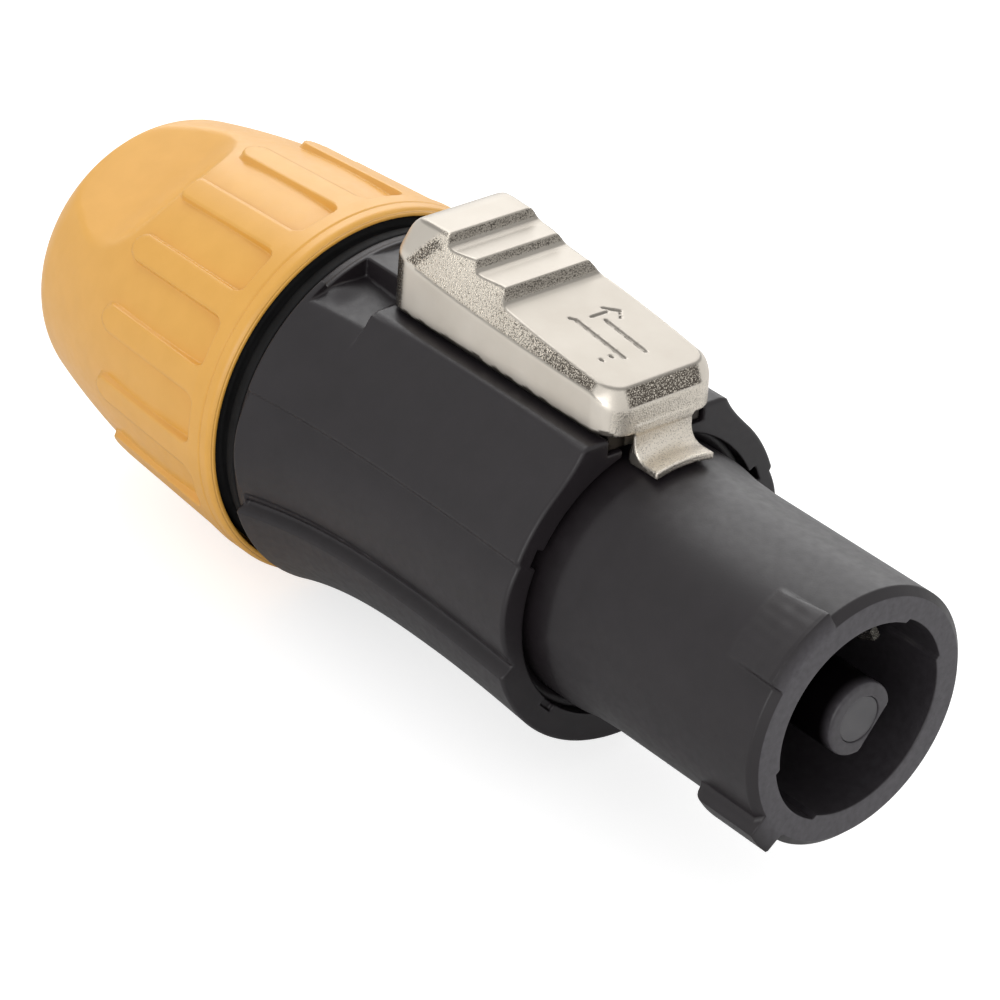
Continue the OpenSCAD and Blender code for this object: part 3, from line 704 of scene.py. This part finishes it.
def make_nose():
    flange_at = NOSE_END - 2.5
    tail_r = ROOT_R - 1.5
    outline = [(NOSE_END, FLANGE_R, 0.15, 2.2), (flange_at, FLANGE_R, 0.15, 0.8),
               (flange_at, ROOT_R, 0, 3), (FACE_AT - 1.8, ROOT_R, 0.3, 0.3),
               (FACE_AT - 3.6, NOSE_R + 0.12, 0.3, 0.4), (FACE_AT - 6.0, NOSE_R, 0.3, 1.0),
               (8, NOSE_R, 0, 0.16), (0.55, NOSE_R, 0, 0.1), (0, NOSE_R - 0.6, 0.05, 0.3),
               (0, BORE_R, 0.14, 0.9), (BORE_END - 1, BORE_R, 0, 0.5), (BORE_END, BORE_R, 0.2, 0.6),
               (BORE_END, POST_R, 0.2, 0.8), (0, POST_R, 0.28, 0.2), (0, POST_HOLE_R, 0.06, 1.8),
               (20, POST_HOLE_R, 0, 2.0), (20, tail_r, 0, 2.5), (NOSE_END, tail_r, 0, 1.2)]
    piece = spun("nose_barrel", outline, around(400), shape=nose_shape)
    write_layers(piece.data, nose_layers)
    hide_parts("nose")
    return dress(piece, "root", nose_charcoal)


# ---- housing ----

RIM_FLARE = 0.53
COLLAR_FLARE = 2.0
WAIST_AT = FACE_AT + 11.6
CHANNEL_Z = SEAT_R + 0.85
RAIL_TOP = CHANNEL_Z + 1.3
RAIL_HALF = 6.55
RAIL_END = FACE_AT + 23.6
PLATFORM_END = COLLAR_AT - 0.5
BLOCK_HALF = 3.2                    # the block that stands up inside the latch
BLOCK_TOP = RAIL_TOP + 1.2
BLOCK_AT = RAIL_END - 4.5
NECK_HALF = 4.5
UNDERCUT_HALF = 5.2
LIP_T = 0.5
PIN_AT = BLOCK_AT + 2.2
PIN_Z = CHANNEL_Z + 1.2
PIN_R = 0.6
WELL_AT = SPIGOT_END - 15.6         # where the bore widens to the well
TONGUE_HALF = 2.7
LOW_RIM = (29, 14.1)                # the rim behind the platform: half angle and radius
NOTCHES = ((65, 1.9), (135, 0.35))  # angle and depth
PANEL = (68, 103)                   # angles of the side panel's edges
FRONT_ROUND = 0.3
CORE_R = 9.0                        # no cut has to reach further in


def housing_skin(depth, angle):
    """Outer radius of the waisted body; the side panel is let in a little below the rest."""
    front = np.clip((WAIST_AT - depth) / (WAIST_AT - FACE_AT), 0, 1)
    rear = np.clip((depth - WAIST_AT) / (COLLAR_AT - WAIST_AT), 0, 1.05)
    base = WAIST_R + RIM_FLARE * front ** 1.6 + COLLAR_FLARE * rear ** 2.8
    upper = -0.12
    lower = 0.18 * (1 - 0.6 * rear)
    t = (angle - PANEL[0]) / (PANEL[1] - PANEL[0])
    panel = -0.40 + 1.35 * t - 1.62 * t * t
    relief = upper + (panel - upper) * ease((angle - PANEL[0] + 0.6) / 1.2)
    relief = relief + (lower - relief) * ease((angle - PANEL[1] - 3.2) / 2.6)
    for groove_at in (PANEL[1] + 0.4, PANEL[1] + 3.6):
        relief = relief - 0.09 * ease(1 - np.abs(angle - groove_at) / 1.3)
    return base + relief


def platform_height(depth, across):
    """The platform behind the rails: a little crowned, and swept up to the rear rim at its sides."""
    back = depth - RAIL_END
    crown = 0.5 * np.clip((RAIL_HALF + 0.65 - across) / 4, 0, 1)
    sweep = ease((back - 3.0) / 2.0) * ease((across - BLOCK_HALF) / 3.2) * ease((8.6 - across) / 2.6)
    return CHANNEL_Z + 0.09 * back + crown + 0.4 * sweep


def with_rails(body, depth, across, z):
    """Adds the rails: upright by the latch, then a long fillet down to the round body."""
    deck = np.maximum(z - RAIL_TOP, across - RAIL_HALF - 0.18 * (RAIL_TOP - z))
    flank = smooth_min(body, deck, 2.2)
    flank = smooth_max(flank, -np.maximum(RAIL_TOP - z, across - RAIL_HALF - 1.05), 0.12)
    flank = np.minimum(body, smooth_max(flank, depth - RAIL_END, 0.1))
    return np.where((z > 5) & (depth < RAIL_END + 1), flank, body)


def with_platform(body, depth, across, z, angle):
    """Cuts the platform behind the rails, and lowers the rim behind it."""
    behind = np.maximum(RAIL_END - depth, depth - PLATFORM_END)
    pocket = common(behind, platform_height(depth, across) - z, BLOCK_HALF - across)
    body = smooth_max(body, -pocket, 0.1)
    body = np.maximum(body, -np.maximum(behind, BLOCK_TOP - z))
    half_angle, rim_r = LOW_RIM
    return smooth_max(body, np.hypot(across, z) - np.where(angle < half_angle, rim_r, FAR), 0.1)


def latch_channel(depth, across, z):
    """The channel for the latch, its undercuts and the slot for the tongue."""
    channel = common(across - NECK_HALF, CHANNEL_Z - z, depth - RAIL_END)
    undercut = common(across - UNDERCUT_HALF, CHANNEL_Z - z, z - RAIL_TOP + LIP_T,
                      depth - RAIL_END - 1, FACE_AT + 1 - depth)
    cut = np.minimum(channel, undercut)
    cut = np.where(depth > BLOCK_AT, np.maximum(cut, BLOCK_HALF - across), cut)
    slot = common(across - TONGUE_HALF - 0.4, CORE_R + 0.3 - z, depth - FACE_AT - 4.6)
    return np.minimum(cut, slot)


def front_notch(depth, across, z, angle, deep):
    """A small notch let into the housing's front face."""
    t = np.radians(angle)
    along = across * np.sin(t) + z * np.cos(t)
    sideways = across * np.cos(t) - z * np.sin(t)
    return common(np.abs(sideways) - 0.7, depth - FACE_AT - deep, CORE_R - along, along - SEAT_R - 1.35)


def housing_field(x, y, z):
    depth = -x
    radius = np.hypot(y, z)
    across = np.abs(y)
    angle = np.degrees(np.arctan2(across, z))
    body = with_rails(radius - housing_skin(depth, angle), depth, across, z)
    body = round_max(body, FACE_AT - depth, FRONT_ROUND)
    body = with_platform(body, depth, across, z, angle)
    body = round_max(body, depth - COLLAR_AT, 0.18)
    stop = block(x, y, z, (-PLATFORM_END, -BLOCK_HALF, CHANNEL_Z - 1),
                 (-BLOCK_AT, BLOCK_HALF, BLOCK_TOP), 0.12)
    body = np.minimum(body, stop)
    seal_seat = np.maximum(radius - SEAL_R + 0.3, depth - COLLAR_AT - 0.6)
    body = np.where(depth > COLLAR_AT - 0.4, np.minimum(body, seal_seat), body)
    body = smooth_max(body, -latch_channel(depth, across, z), 0.1)
    # bore, well, front recess with its notches, key grooves and pin hole
    bore = np.where(depth < WELL_AT, SEAT_R, WELL_R)
    bore = np.where(depth < FACE_AT + 1.2, FLANGE_R, bore)
    body = smooth_max(body, bore - radius, 0.1)
    for notch_angle, deep in NOTCHES:
        body = smooth_max(body, -front_notch(depth, across, z, notch_angle, deep), 0.15)
    groove = common(np.abs(z) - KEY_HALF, across - KEY_FLOOR_R, WELL_AT - depth, CORE_R - across)
    body = np.maximum(body, -groove)
    pin = np.maximum(np.hypot(depth - PIN_AT, z - PIN_Z) - PIN_R, across - 4)
    return np.maximum(body, -pin)


def make_housing():
    # the grid is finer at the collar, the rails' rear end and the front face
    collar, rail, front = -COLLAR_AT + 1.0, -RAIL_END + 0.4, -FACE_AT - 2.2
    axes = (grid_line((-COLLAR_AT - 1.1, collar, 0.13), (collar, rail - 0.8, 0.35),
                      (rail - 0.8, rail, 0.13), (rail, front, 0.42), (front, -FACE_AT + 0.3, 0.11)),
            around(420),
            grid_line((8.9, 11, 0.25), (11, 15.3, 0.14)))
    piece = net("housing_body", housing_field, axes, round_grid=True)
    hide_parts("housing")
    return dress(piece, "root", charcoal)


def make_spigot():
    """The threaded spigot behind the collar, with its key grooves."""
    start, stop = COLLAR_AT + 0.2, SPIGOT_END

    def shape(depth, radius, angle):
        turns = (radius > SPIGOT_R - 0.05) & (depth > COLLAR_AT + 4) & (depth < stop - 0.4)
        out = radius - np.where(turns, 0.16 * thread_wave(depth, angle), 0)
        grooved = np.abs(np.cos(np.radians(angle))) * WELL_R < KEY_HALF
        return depth, np.where(grooved & (radius < WELL_R + 0.02), KEY_FLOOR_R, out)

    outline = [(stop, SPIGOT_R - 0.3, 0, 0.3), (stop - 0.3, SPIGOT_R, 0, 0.22), (start, SPIGOT_R, 0, 1),
               (start, WELL_R, 0, 1.2), (stop, WELL_R, 0, 1)]
    piece = spun("threaded_spigot", outline, around(180), shape=shape)
    return dress(piece, "root", charcoal)


# ---- latch ----

LATCH_REAR = -latch_low[0]
LATCH_FRONT = LATCH_REAR - 25
LATCH_Z = RAIL_TOP + 0.3            # underside of the thumb piece
LATCH_HALF = latch_high[1]
SLIDE_GAP = 0.1
HOLLOW_GAP = 0.3
PUSHER_AT = LATCH_FRONT + 4
LEG_END = RAIL_END - 3
TRAVEL = 3
# (distance forward of the latch's rear end, height) where the treads end, and along the thumb steps
CRESTS = ((4.95, 20.34), (8.03, 19.46), (11.48, 18.78))
STEPS = ((-1.0, 20.34), CRESTS[0], (5.22, 19.66), (5.5, 19.42), (6.0, 19.34),
         CRESTS[1], (8.36, 18.94), (8.65, 18.75), (9.1, 18.70),
         CRESTS[2], (11.78, 18.12), (12.05, 17.84), (12.5, 17.71), (23.0, 16.48), (27.0, 16.0))
BEVEL_LOW = 15.75                   # height that the bevel's lower edge runs out to
BEVEL_TOP = ((0, 20.7), *CRESTS, (22.9, 16.68), (25, 16.6))
BEVEL_IN = ((0, 1.58), (11, 1.52), (13, 1.1), (16, 0.95), (20, 0.98), (22.4, 1.15), (24.2, 0.9))
DOME_RUN = 2.95                     # length and radius of the dome behind the crest
DOME_Z = 17.4
# strokes of the arrow: (ahead, y) at each end, and half the stroke's width
ARROW = ((15.8, -0.95, 21.0, -0.95, 0.14), (15.45, -1.25, 15.8, -0.95, 0.11),
         (16.85, 0.95, 21.1, 0.95, 0.14), (16.0, 0.33, 16.05, 1.66, 0.1),
         (15.53, 1.78, 16.41, 2.66, 0.1), (16.41, 2.66, 17.1, 2.1, 0.07),
         (20.4, -2.6, 20.6, -2.6, 0.1), (20.4, -1.7, 20.6, -1.7, 0.1))
ARROW_DEPTH = 0.13
TONGUE_R = 10.95                    # middle of the tongue's curved plate
TONGUE_T = 0.56
# how coarse and dark the bevel's grain gets towards the front; the darkening is partly painted
# reflection of darker surroundings
GRAIN = ((3.0, 0.0), (9.0, 0.15), (14.0, 0.4), (18.0, 0.8), (21.5, 1.0))


def interpolate(value, table):
    """Reads a table of (value, result) points."""
    return np.interp(value, [p[0] for p in table], [p[1] for p in table])


def latch_top(x):
    """Height of the treads and risers, a little softened."""
    return sum(interpolate(x + LATCH_REAR + shift, STEPS) for shift in (-0.07, 0, 0.07)) / 3


def bevel_low(ahead):
    """Height of the bevel's lower edge: high at the rear, and dipping round the front."""
    return BEVEL_LOW + 1.65 * np.exp(-ahead / 9) - 0.9 * ease((ahead - 22.2) / 2.4)


def front_face(x, z, setback):
    """How far a point lies ahead of the front face, which leans back a little."""
    return x + LATCH_FRONT + setback + (z - 13.1) * 0.05


def latch_plan(x, y, z):
    """How far a point lies outside the latch's upright outline."""
    outline = round_max(np.abs(y) - LATCH_HALF, front_face(x, z, 0.28), 2.2)
    return round_max(outline, -x - LATCH_REAR, 2.0)


def bevel_height(x, plan):
    """Height of the convex bevel that runs round the latch inside its outline."""
    low, top = bevel_low(x + LATCH_REAR), interpolate(x + LATCH_REAR, BEVEL_TOP)
    t = np.clip(-plan / interpolate(x + LATCH_REAR, BEVEL_IN), 0, 3)
    crown = 1 - np.sign(1 - t) * np.abs(1 - t) ** 1.3
    return np.where(t > 1, top + (t - 1) * 1.2, low + (top - low) * crown)


def latch_block(x, y, z):
    """The thumb piece: upright sides, a convex bevel, stair steps and a domed rear."""
    plan = latch_plan(x, y, z)
    rise = (z - bevel_height(x, plan)) * 0.5
    tread = (z - latch_top(x)) * 0.8
    dome = np.hypot(np.minimum(x + LATCH_REAR - DOME_RUN, 0), np.maximum(z - DOME_Z, 0)) - DOME_RUN
    solid = smooth_max(plan, rise, 0.16)
    solid = smooth_max(solid, tread, 0.07)
    solid = smooth_max(solid, dome, 0.5)
    return smooth_max(solid, LATCH_Z - z, 0.16)


def arrow_groove(x, y):
    """How far a point lies from the strokes of the scuffed outline arrow on the front slope."""
    ahead = x + LATCH_REAR
    groove = 9.0
    for ahead_from, y_from, ahead_to, y_to, half in ARROW:
        run, side = ahead_to - ahead_from, y_to - y_from
        t = np.clip(((ahead - ahead_from) * run + (y - y_from) * side) / (run * run + side * side), 0, 1)
        away = np.hypot(ahead - ahead_from - t * run, y - y_from - t * side) - half
        groove = np.minimum(groove, away)
    return groove


def latch_guides(x, across, z):
    """The pusher, the legs beside the housing's block and the feet under its rail lips."""
    low_z, high_z = CHANNEL_Z + SLIDE_GAP, LATCH_Z + 0.6
    hollow, neck, sole = BLOCK_HALF + HOLLOW_GAP, NECK_HALF - SLIDE_GAP, UNDERCUT_HALF - SLIDE_GAP
    push = block(x, across, z, (-PUSHER_AT, -5, low_z), (-FACE_AT - 0.3, neck, high_z), 0.08)
    leg = block(x, across, z, (-LEG_END, hollow, low_z), (-PUSHER_AT + 0.3, neck, high_z), 0.06)
    foot = block(x, across, z, (-LEG_END, hollow, low_z),
                 (-PUSHER_AT, sole, RAIL_TOP - LIP_T - SLIDE_GAP), 0.06)
    return np.minimum(push, np.minimum(leg, foot))


def latch_tongue(x, across, z):
    """The strap down the front, and the curved plate that runs forward from its foot."""
    radius = np.hypot(across, z)
    back, tip = LATCH_FRONT + 0.4, LATCH_FRONT - 2.2
    strap = common(front_face(x, z, 0.3), -x - back - 0.2, 10.8 - z, z - LATCH_Z - 0.5)
    plate = common(np.abs(radius - TONGUE_R) - TONGUE_T / 2, -x - back, x + tip)
    tongue = round_max(smooth_min(strap, plate, 1.3), across - TONGUE_HALF, 0.12)
    return np.maximum(tongue, TONGUE_R - TONGUE_T / 2 - radius)


def latch_field(x, y, z):
    across = np.abs(y)
    solid = latch_block(x, y, z)
    solid = np.maximum(solid, -np.maximum(arrow_groove(x, y), latch_top(x) - ARROW_DEPTH - z))
    hollow = common(across - BLOCK_HALF - HOLLOW_GAP, z - BLOCK_TOP - HOLLOW_GAP, x + PUSHER_AT)
    solid = np.maximum(solid, -hollow)
    solid = np.minimum(solid, latch_guides(x, across, z))
    slot_r = PIN_R + SLIDE_GAP
    slot = common(np.abs(z - PIN_Z) - slot_r, -x - PIN_AT - slot_r, PIN_AT - TRAVEL - slot_r + x,
                  across - NECK_HALF + SLIDE_GAP)
    return smooth_min(np.maximum(solid, -slot), latch_tongue(x, across, z), 0.3)


def latch_layers(x, y, z):
    """How rough the casting is, how dark its pits are, partly as painted reflection, and how much
    painted shade each point takes.
    """
    ahead = x + LATCH_REAR
    across = np.abs(y)
    low, top = bevel_low(ahead), latch_top(x)
    inward = -latch_plan(x, y, z) / interpolate(ahead, BEVEL_IN)
    fold = ahead - 2.1 - (z - 17.1) * 0.8       # from where the bevel meets the domed rear
    domed = ease(-fold / 0.5)
    # rough: the bevel, the risers, the rear corner's foot, the front face and the tongue
    bevel = ease((z - low - 0.02) / 0.1) * ease((top - 0.05 - z) / 0.08) * ease((1.02 - inward) / 0.1)
    bevel *= 1 - 0.95 * ease((ahead - 22.2) / 0.5) * ease((across - 3.2) / 0.4)
    steep = (latch_top(x - 0.05) - latch_top(x + 0.05)) * 10
    riser = ease((steep - 0.7) / 0.5) * ease((z - top + 0.12) / 0.06) * ease((0.95 - across / 4.6) / 0.02)
    edge = ease((across - 2.8) / 0.5) * ease((2.1 - ahead) / 0.4) * ease((low + 0.05 - z) / 0.15)
    face = ease((ahead - 23.9) / 0.5) * ease((z - 10.9) / 0.6) * ease((low - z) / 0.15) * 0.6
    tongue = ease((ahead - 25.0) / 0.4) * 0.6
    rough = np.maximum.reduce([bevel * (1 - domed), riser, edge, face, tongue])
    # dark: deeper towards the front, in a patch along the fold, and light on the front face;
    #     partly the casting's grain and partly painted reflection of darker surroundings
    dark = np.where(riser > 0.3, 0.48, interpolate(ahead, GRAIN)) * np.where(face > 0.2, 0.25, 1)
    dark = np.where(edge > 0.3, 0.8, dark)
    patch = hump(fold, 0.45, 0.75) * ease((z - low) / 0.3) * ease((19.9 - z) / 0.8)
    dark = np.where((ahead < 5) & (riser < 0.3), np.maximum(dark, patch * 0.95), dark)
    dark = np.where((ahead > 24.2) & (z < low - 0.1), 0.22, dark)
    # painted shade: in the hollows, along the chipped parting line and under the latch, and less so
    #     on the flats, the dome and the rear corners, standing in for shade and dark reflections
    foot = sum(hump(ahead, crest + 0.6, 0.4) for crest, _ in CRESTS) * (z > top - 0.1)
    chips = 0.26 * ripple(x, y, z, 1.4, 8)
    seam = ease((LATCH_Z + 0.36 + chips - z) / 0.12) * (z > LATCH_Z - 0.2) * (across > 4.4)
    crease = hump(z, low + 0.02, 0.09) * (across > LATCH_HALF - 0.3) * (ahead > 3)
    under = (z < LATCH_Z - 0.15) & (across > 2.75)
    stroke = ease((0.06 - arrow_groove(x, y)) / 0.06) * (z > 15.5)
    flat = ease((z - top + 0.18 + 0.25 * (ahead < 4.9)) / 0.1) * ease((inward - 0.4) / 0.3)
    dome = domed * ease((z - DOME_Z) / 0.5) * (0.3 + 0.7 * ease((inward - 0.7) / 0.6))
    corner = ease((2.4 - ahead) / 1.2) * ease((across - 3.2) / 1.0) * ease((low + 0.2 - z) / 0.3)
    shade = np.maximum.reduce([seam * 0.9, foot * 0.6, under * 0.98, stroke * 0.7,
                               np.maximum(flat, dome) * 0.54, corner * 0.7, crease * 0.55])
    return {"rough": rough, "dark": dark, "shade": shade}


def make_latch():
    axes = (grid_line((-LATCH_REAR - 0.3, -LATCH_FRONT + 2.5, 0.12)),
            grid_line((-LATCH_HALF - 0.3, LATCH_HALF + 0.3, 0.13)),
            grid_line((CHANNEL_Z - 1.4, latch_high[2] + 0.3, 0.12)))
    piece = net("latch_casting", latch_field, axes)
    write_layers(piece.data, latch_layers)
    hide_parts("latch")
    return dress(piece, "latch", nickel)


# ---- seal, spring and the pieces inside ----

def make_seal():
    start, stop = -seal_high[0], -seal_low[0]
    lip = seal_high[2]
    groove = lip - 0.7
    outline = [(stop, SPIGOT_R, 0, 0.6), (stop, lip - 0.1, 0.25, 0.2), (stop - 1.1, lip, 0.25, 0.2),
               (stop - 1.4, groove, 0.2, 0.2), (start + 1.2, groove, 0.2, 0.2),
               (start + 0.9, lip - 0.25, 0.2, 0.2), (start, lip - 0.25, 0.2, 0.4), (start, SPIGOT_R, 0, 1)]
    piece = spun("cable_seal", outline, around(160))
    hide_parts("seal_ring")
    return dress(piece, "root", rubber)


def make_spring():
    """A coil with closed end turns, made at one length; the real one shortens as the latch slides back."""
    middle = (spring_low + spring_high) / 2
    length = spring_high[0] - spring_low[0]
    wire = 0.2
    coil_r = (spring_high[2] - spring_low[2]) / 2 - wire
    turns, sides, per_turn = 14, 8, 20
    t = np.linspace(0, 1, turns * per_turn + 1)
    spin = 2 * np.pi * turns * t
    closed = 3.2 * wire             # length of the closed turns at each end
    run = np.interp(t, [0, 0.09, 0.91, 1], [wire, closed, length - closed, length - wire])
    out = np.stack([0 * t, np.sin(spin), np.cos(spin)], 1)
    centre = np.stack([spring_low[0] + run, middle[1] + 0 * t, middle[2] + 0 * t], 1) + coil_r * out
    along = np.gradient(centre, axis=0)
    along /= np.linalg.norm(along, axis=1, keepdims=True)
    side = np.cross(along, out)
    rings = [centre + wire * (out * np.cos(a) + side * np.sin(a)) for a in np.radians(around(sides))]
    points = np.stack(rings, 1).reshape(-1, 3)
    k, j = np.meshgrid(np.arange(len(t) - 1), np.arange(sides), indexing="ij")
    j1 = (j + 1) % sides
    quads = np.stack([k * sides + j, k * sides + j1, (k + 1) * sides + j1, (k + 1) * sides + j], -1)
    first_end = np.array([[0, i, i + 1, i + 2] for i in range(1, sides - 1, 2)])
    last_end = (first_end + (len(t) - 1) * sides)[:, ::-1]
    piece = add_mesh("coil_spring", points, np.concatenate([quads.reshape(-1, 4), first_end, last_end]))
    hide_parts("latch_spring")
    dress(piece, "root", spring_wire)
    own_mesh(piece)
    return piece


def dress_inside():
    """The CAD nodes that stay take a finished material."""
    finishes = {"contact_carrier": carrier_grey, "chuck": chuck_black, "latch_pin": spring_wire}
    for way in ("earth", "line", "neutral"):
        finishes["contact_" + way] = plated
        finishes["terminal_" + way] = brass
        finishes["plate_" + way] = steel
        finishes["screw_" + way] = steel
    for name, material in finishes.items():
        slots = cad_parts[name].data.materials
        slots.clear()
        slots.append(material)


make_cap()
make_nose()
make_housing()
make_spigot()
make_latch()
make_seal()
make_spring()
dress_inside()


# ---- floor and light ----

WORLD_LIGHT = 0.80
WORLD_GLOSS = 0.80
FLOOR_SEEN = 0.66                   # what the floor adds where the camera sees it
FLOOR_GLOSS = 0.06                  # and where gloss shows it
FLOOR_PAINT = 0.68
FLOOR_HALF = 3.0                    # metres, like the gap under the object
FLOOR_GAP = 0.0003


def make_floor():
    level = cad_box[0][2] - FLOOR_GAP
    ends = ((-1, -1), (1, -1), (1, 1), (-1, 1))
    mesh = bpy.data.meshes.new("floor")
    mesh.from_pydata([(x * FLOOR_HALF, y * FLOOR_HALF, level) for x, y in ends], [], [(0, 1, 2, 3)])
    floor = put("floor", mesh)
    material = bpy.data.materials.new("pale_floor")
    material.use_nodes = True
    tree = material.node_tree
    tree.nodes.clear()
    paint = tree.nodes.new("ShaderNodeBsdfDiffuse")
    feed(paint.inputs["Color"], (FLOOR_PAINT, FLOOR_PAINT, FLOOR_PAINT))
    rays = tree.nodes.new("ShaderNodeLightPath")
    seen = math_node(tree, "MULTIPLY", rays.outputs["Is Camera Ray"], FLOOR_SEEN)
    glossy = math_node(tree, "MULTIPLY", rays.outputs["Is Glossy Ray"], FLOOR_GLOSS)
    glow = tree.nodes.new("ShaderNodeEmission")
    total = tree.nodes.new("ShaderNodeAddShader")
    out = tree.nodes.new("ShaderNodeOutputMaterial")
    feed(glow.inputs["Strength"], math_node(tree, "ADD", seen, glossy))
    feed(total.inputs[0], paint.outputs[0])
    feed(total.inputs[1], glow.outputs[0])
    feed(out.inputs["Surface"], total.outputs[0])
    mesh.materials.append(material)


def make_world():
    """White behind the object, and a little dimmer in its gloss and as a light."""
    world = bpy.data.worlds.new("studio")
    bpy.context.scene.world = world
    world.use_nodes = True
    tree = world.node_tree
    sky = tree.nodes["Background"]
    feed(sky.inputs["Color"], (1, 1, 1))
    rays = tree.nodes.new("ShaderNodeLightPath").outputs
    seen = math_node(tree, "MAXIMUM", rays["Is Camera Ray"], rays["Is Transmission Ray"])
    glossy = math_node(tree, "MULTIPLY", rays["Is Glossy Ray"], WORLD_GLOSS)
    strength = math_node(tree, "MAXIMUM", math_node(tree, "MAXIMUM", seen, glossy), WORLD_LIGHT)
    feed(sky.inputs["Strength"], strength)


def soft_light(name, target, around_z, height, distance, size, brightness):
    """A rectangular lamp, placed by its direction from the object: degrees from +X towards +Y, and
    degrees up. Its brightness is 1 where it would look white."""
    turned, raised = np.radians((around_z, height))
    away = Vector((np.cos(turned) * np.cos(raised), np.sin(turned) * np.cos(raised), np.sin(raised)))
    data = bpy.data.lights.new(name, "AREA")
    data.shape = "RECTANGLE"
    data.size, data.size_y = size
    data.energy = brightness * np.pi * size[0] * size[1]
    light = put(name, data)
    light.location = target + away * distance
    light.rotation_euler = (-away).to_track_quat("-Z", "Y").to_euler()


make_floor()
make_world()
middle = Vector([(a + b) / 2 for a, b in zip(*cad_box)])
soft_light("top", middle, 160, 52, 0.6, (0.30, 0.30), 2.3)
soft_light("back", middle, 134, 28, 0.8, (0.75, 0.60), 1.75)
soft_light("fill", middle, -62, 18, 0.8, (0.5, 0.4), 2.8)
bpy.context.scene.view_settings.view_transform = "Standard"
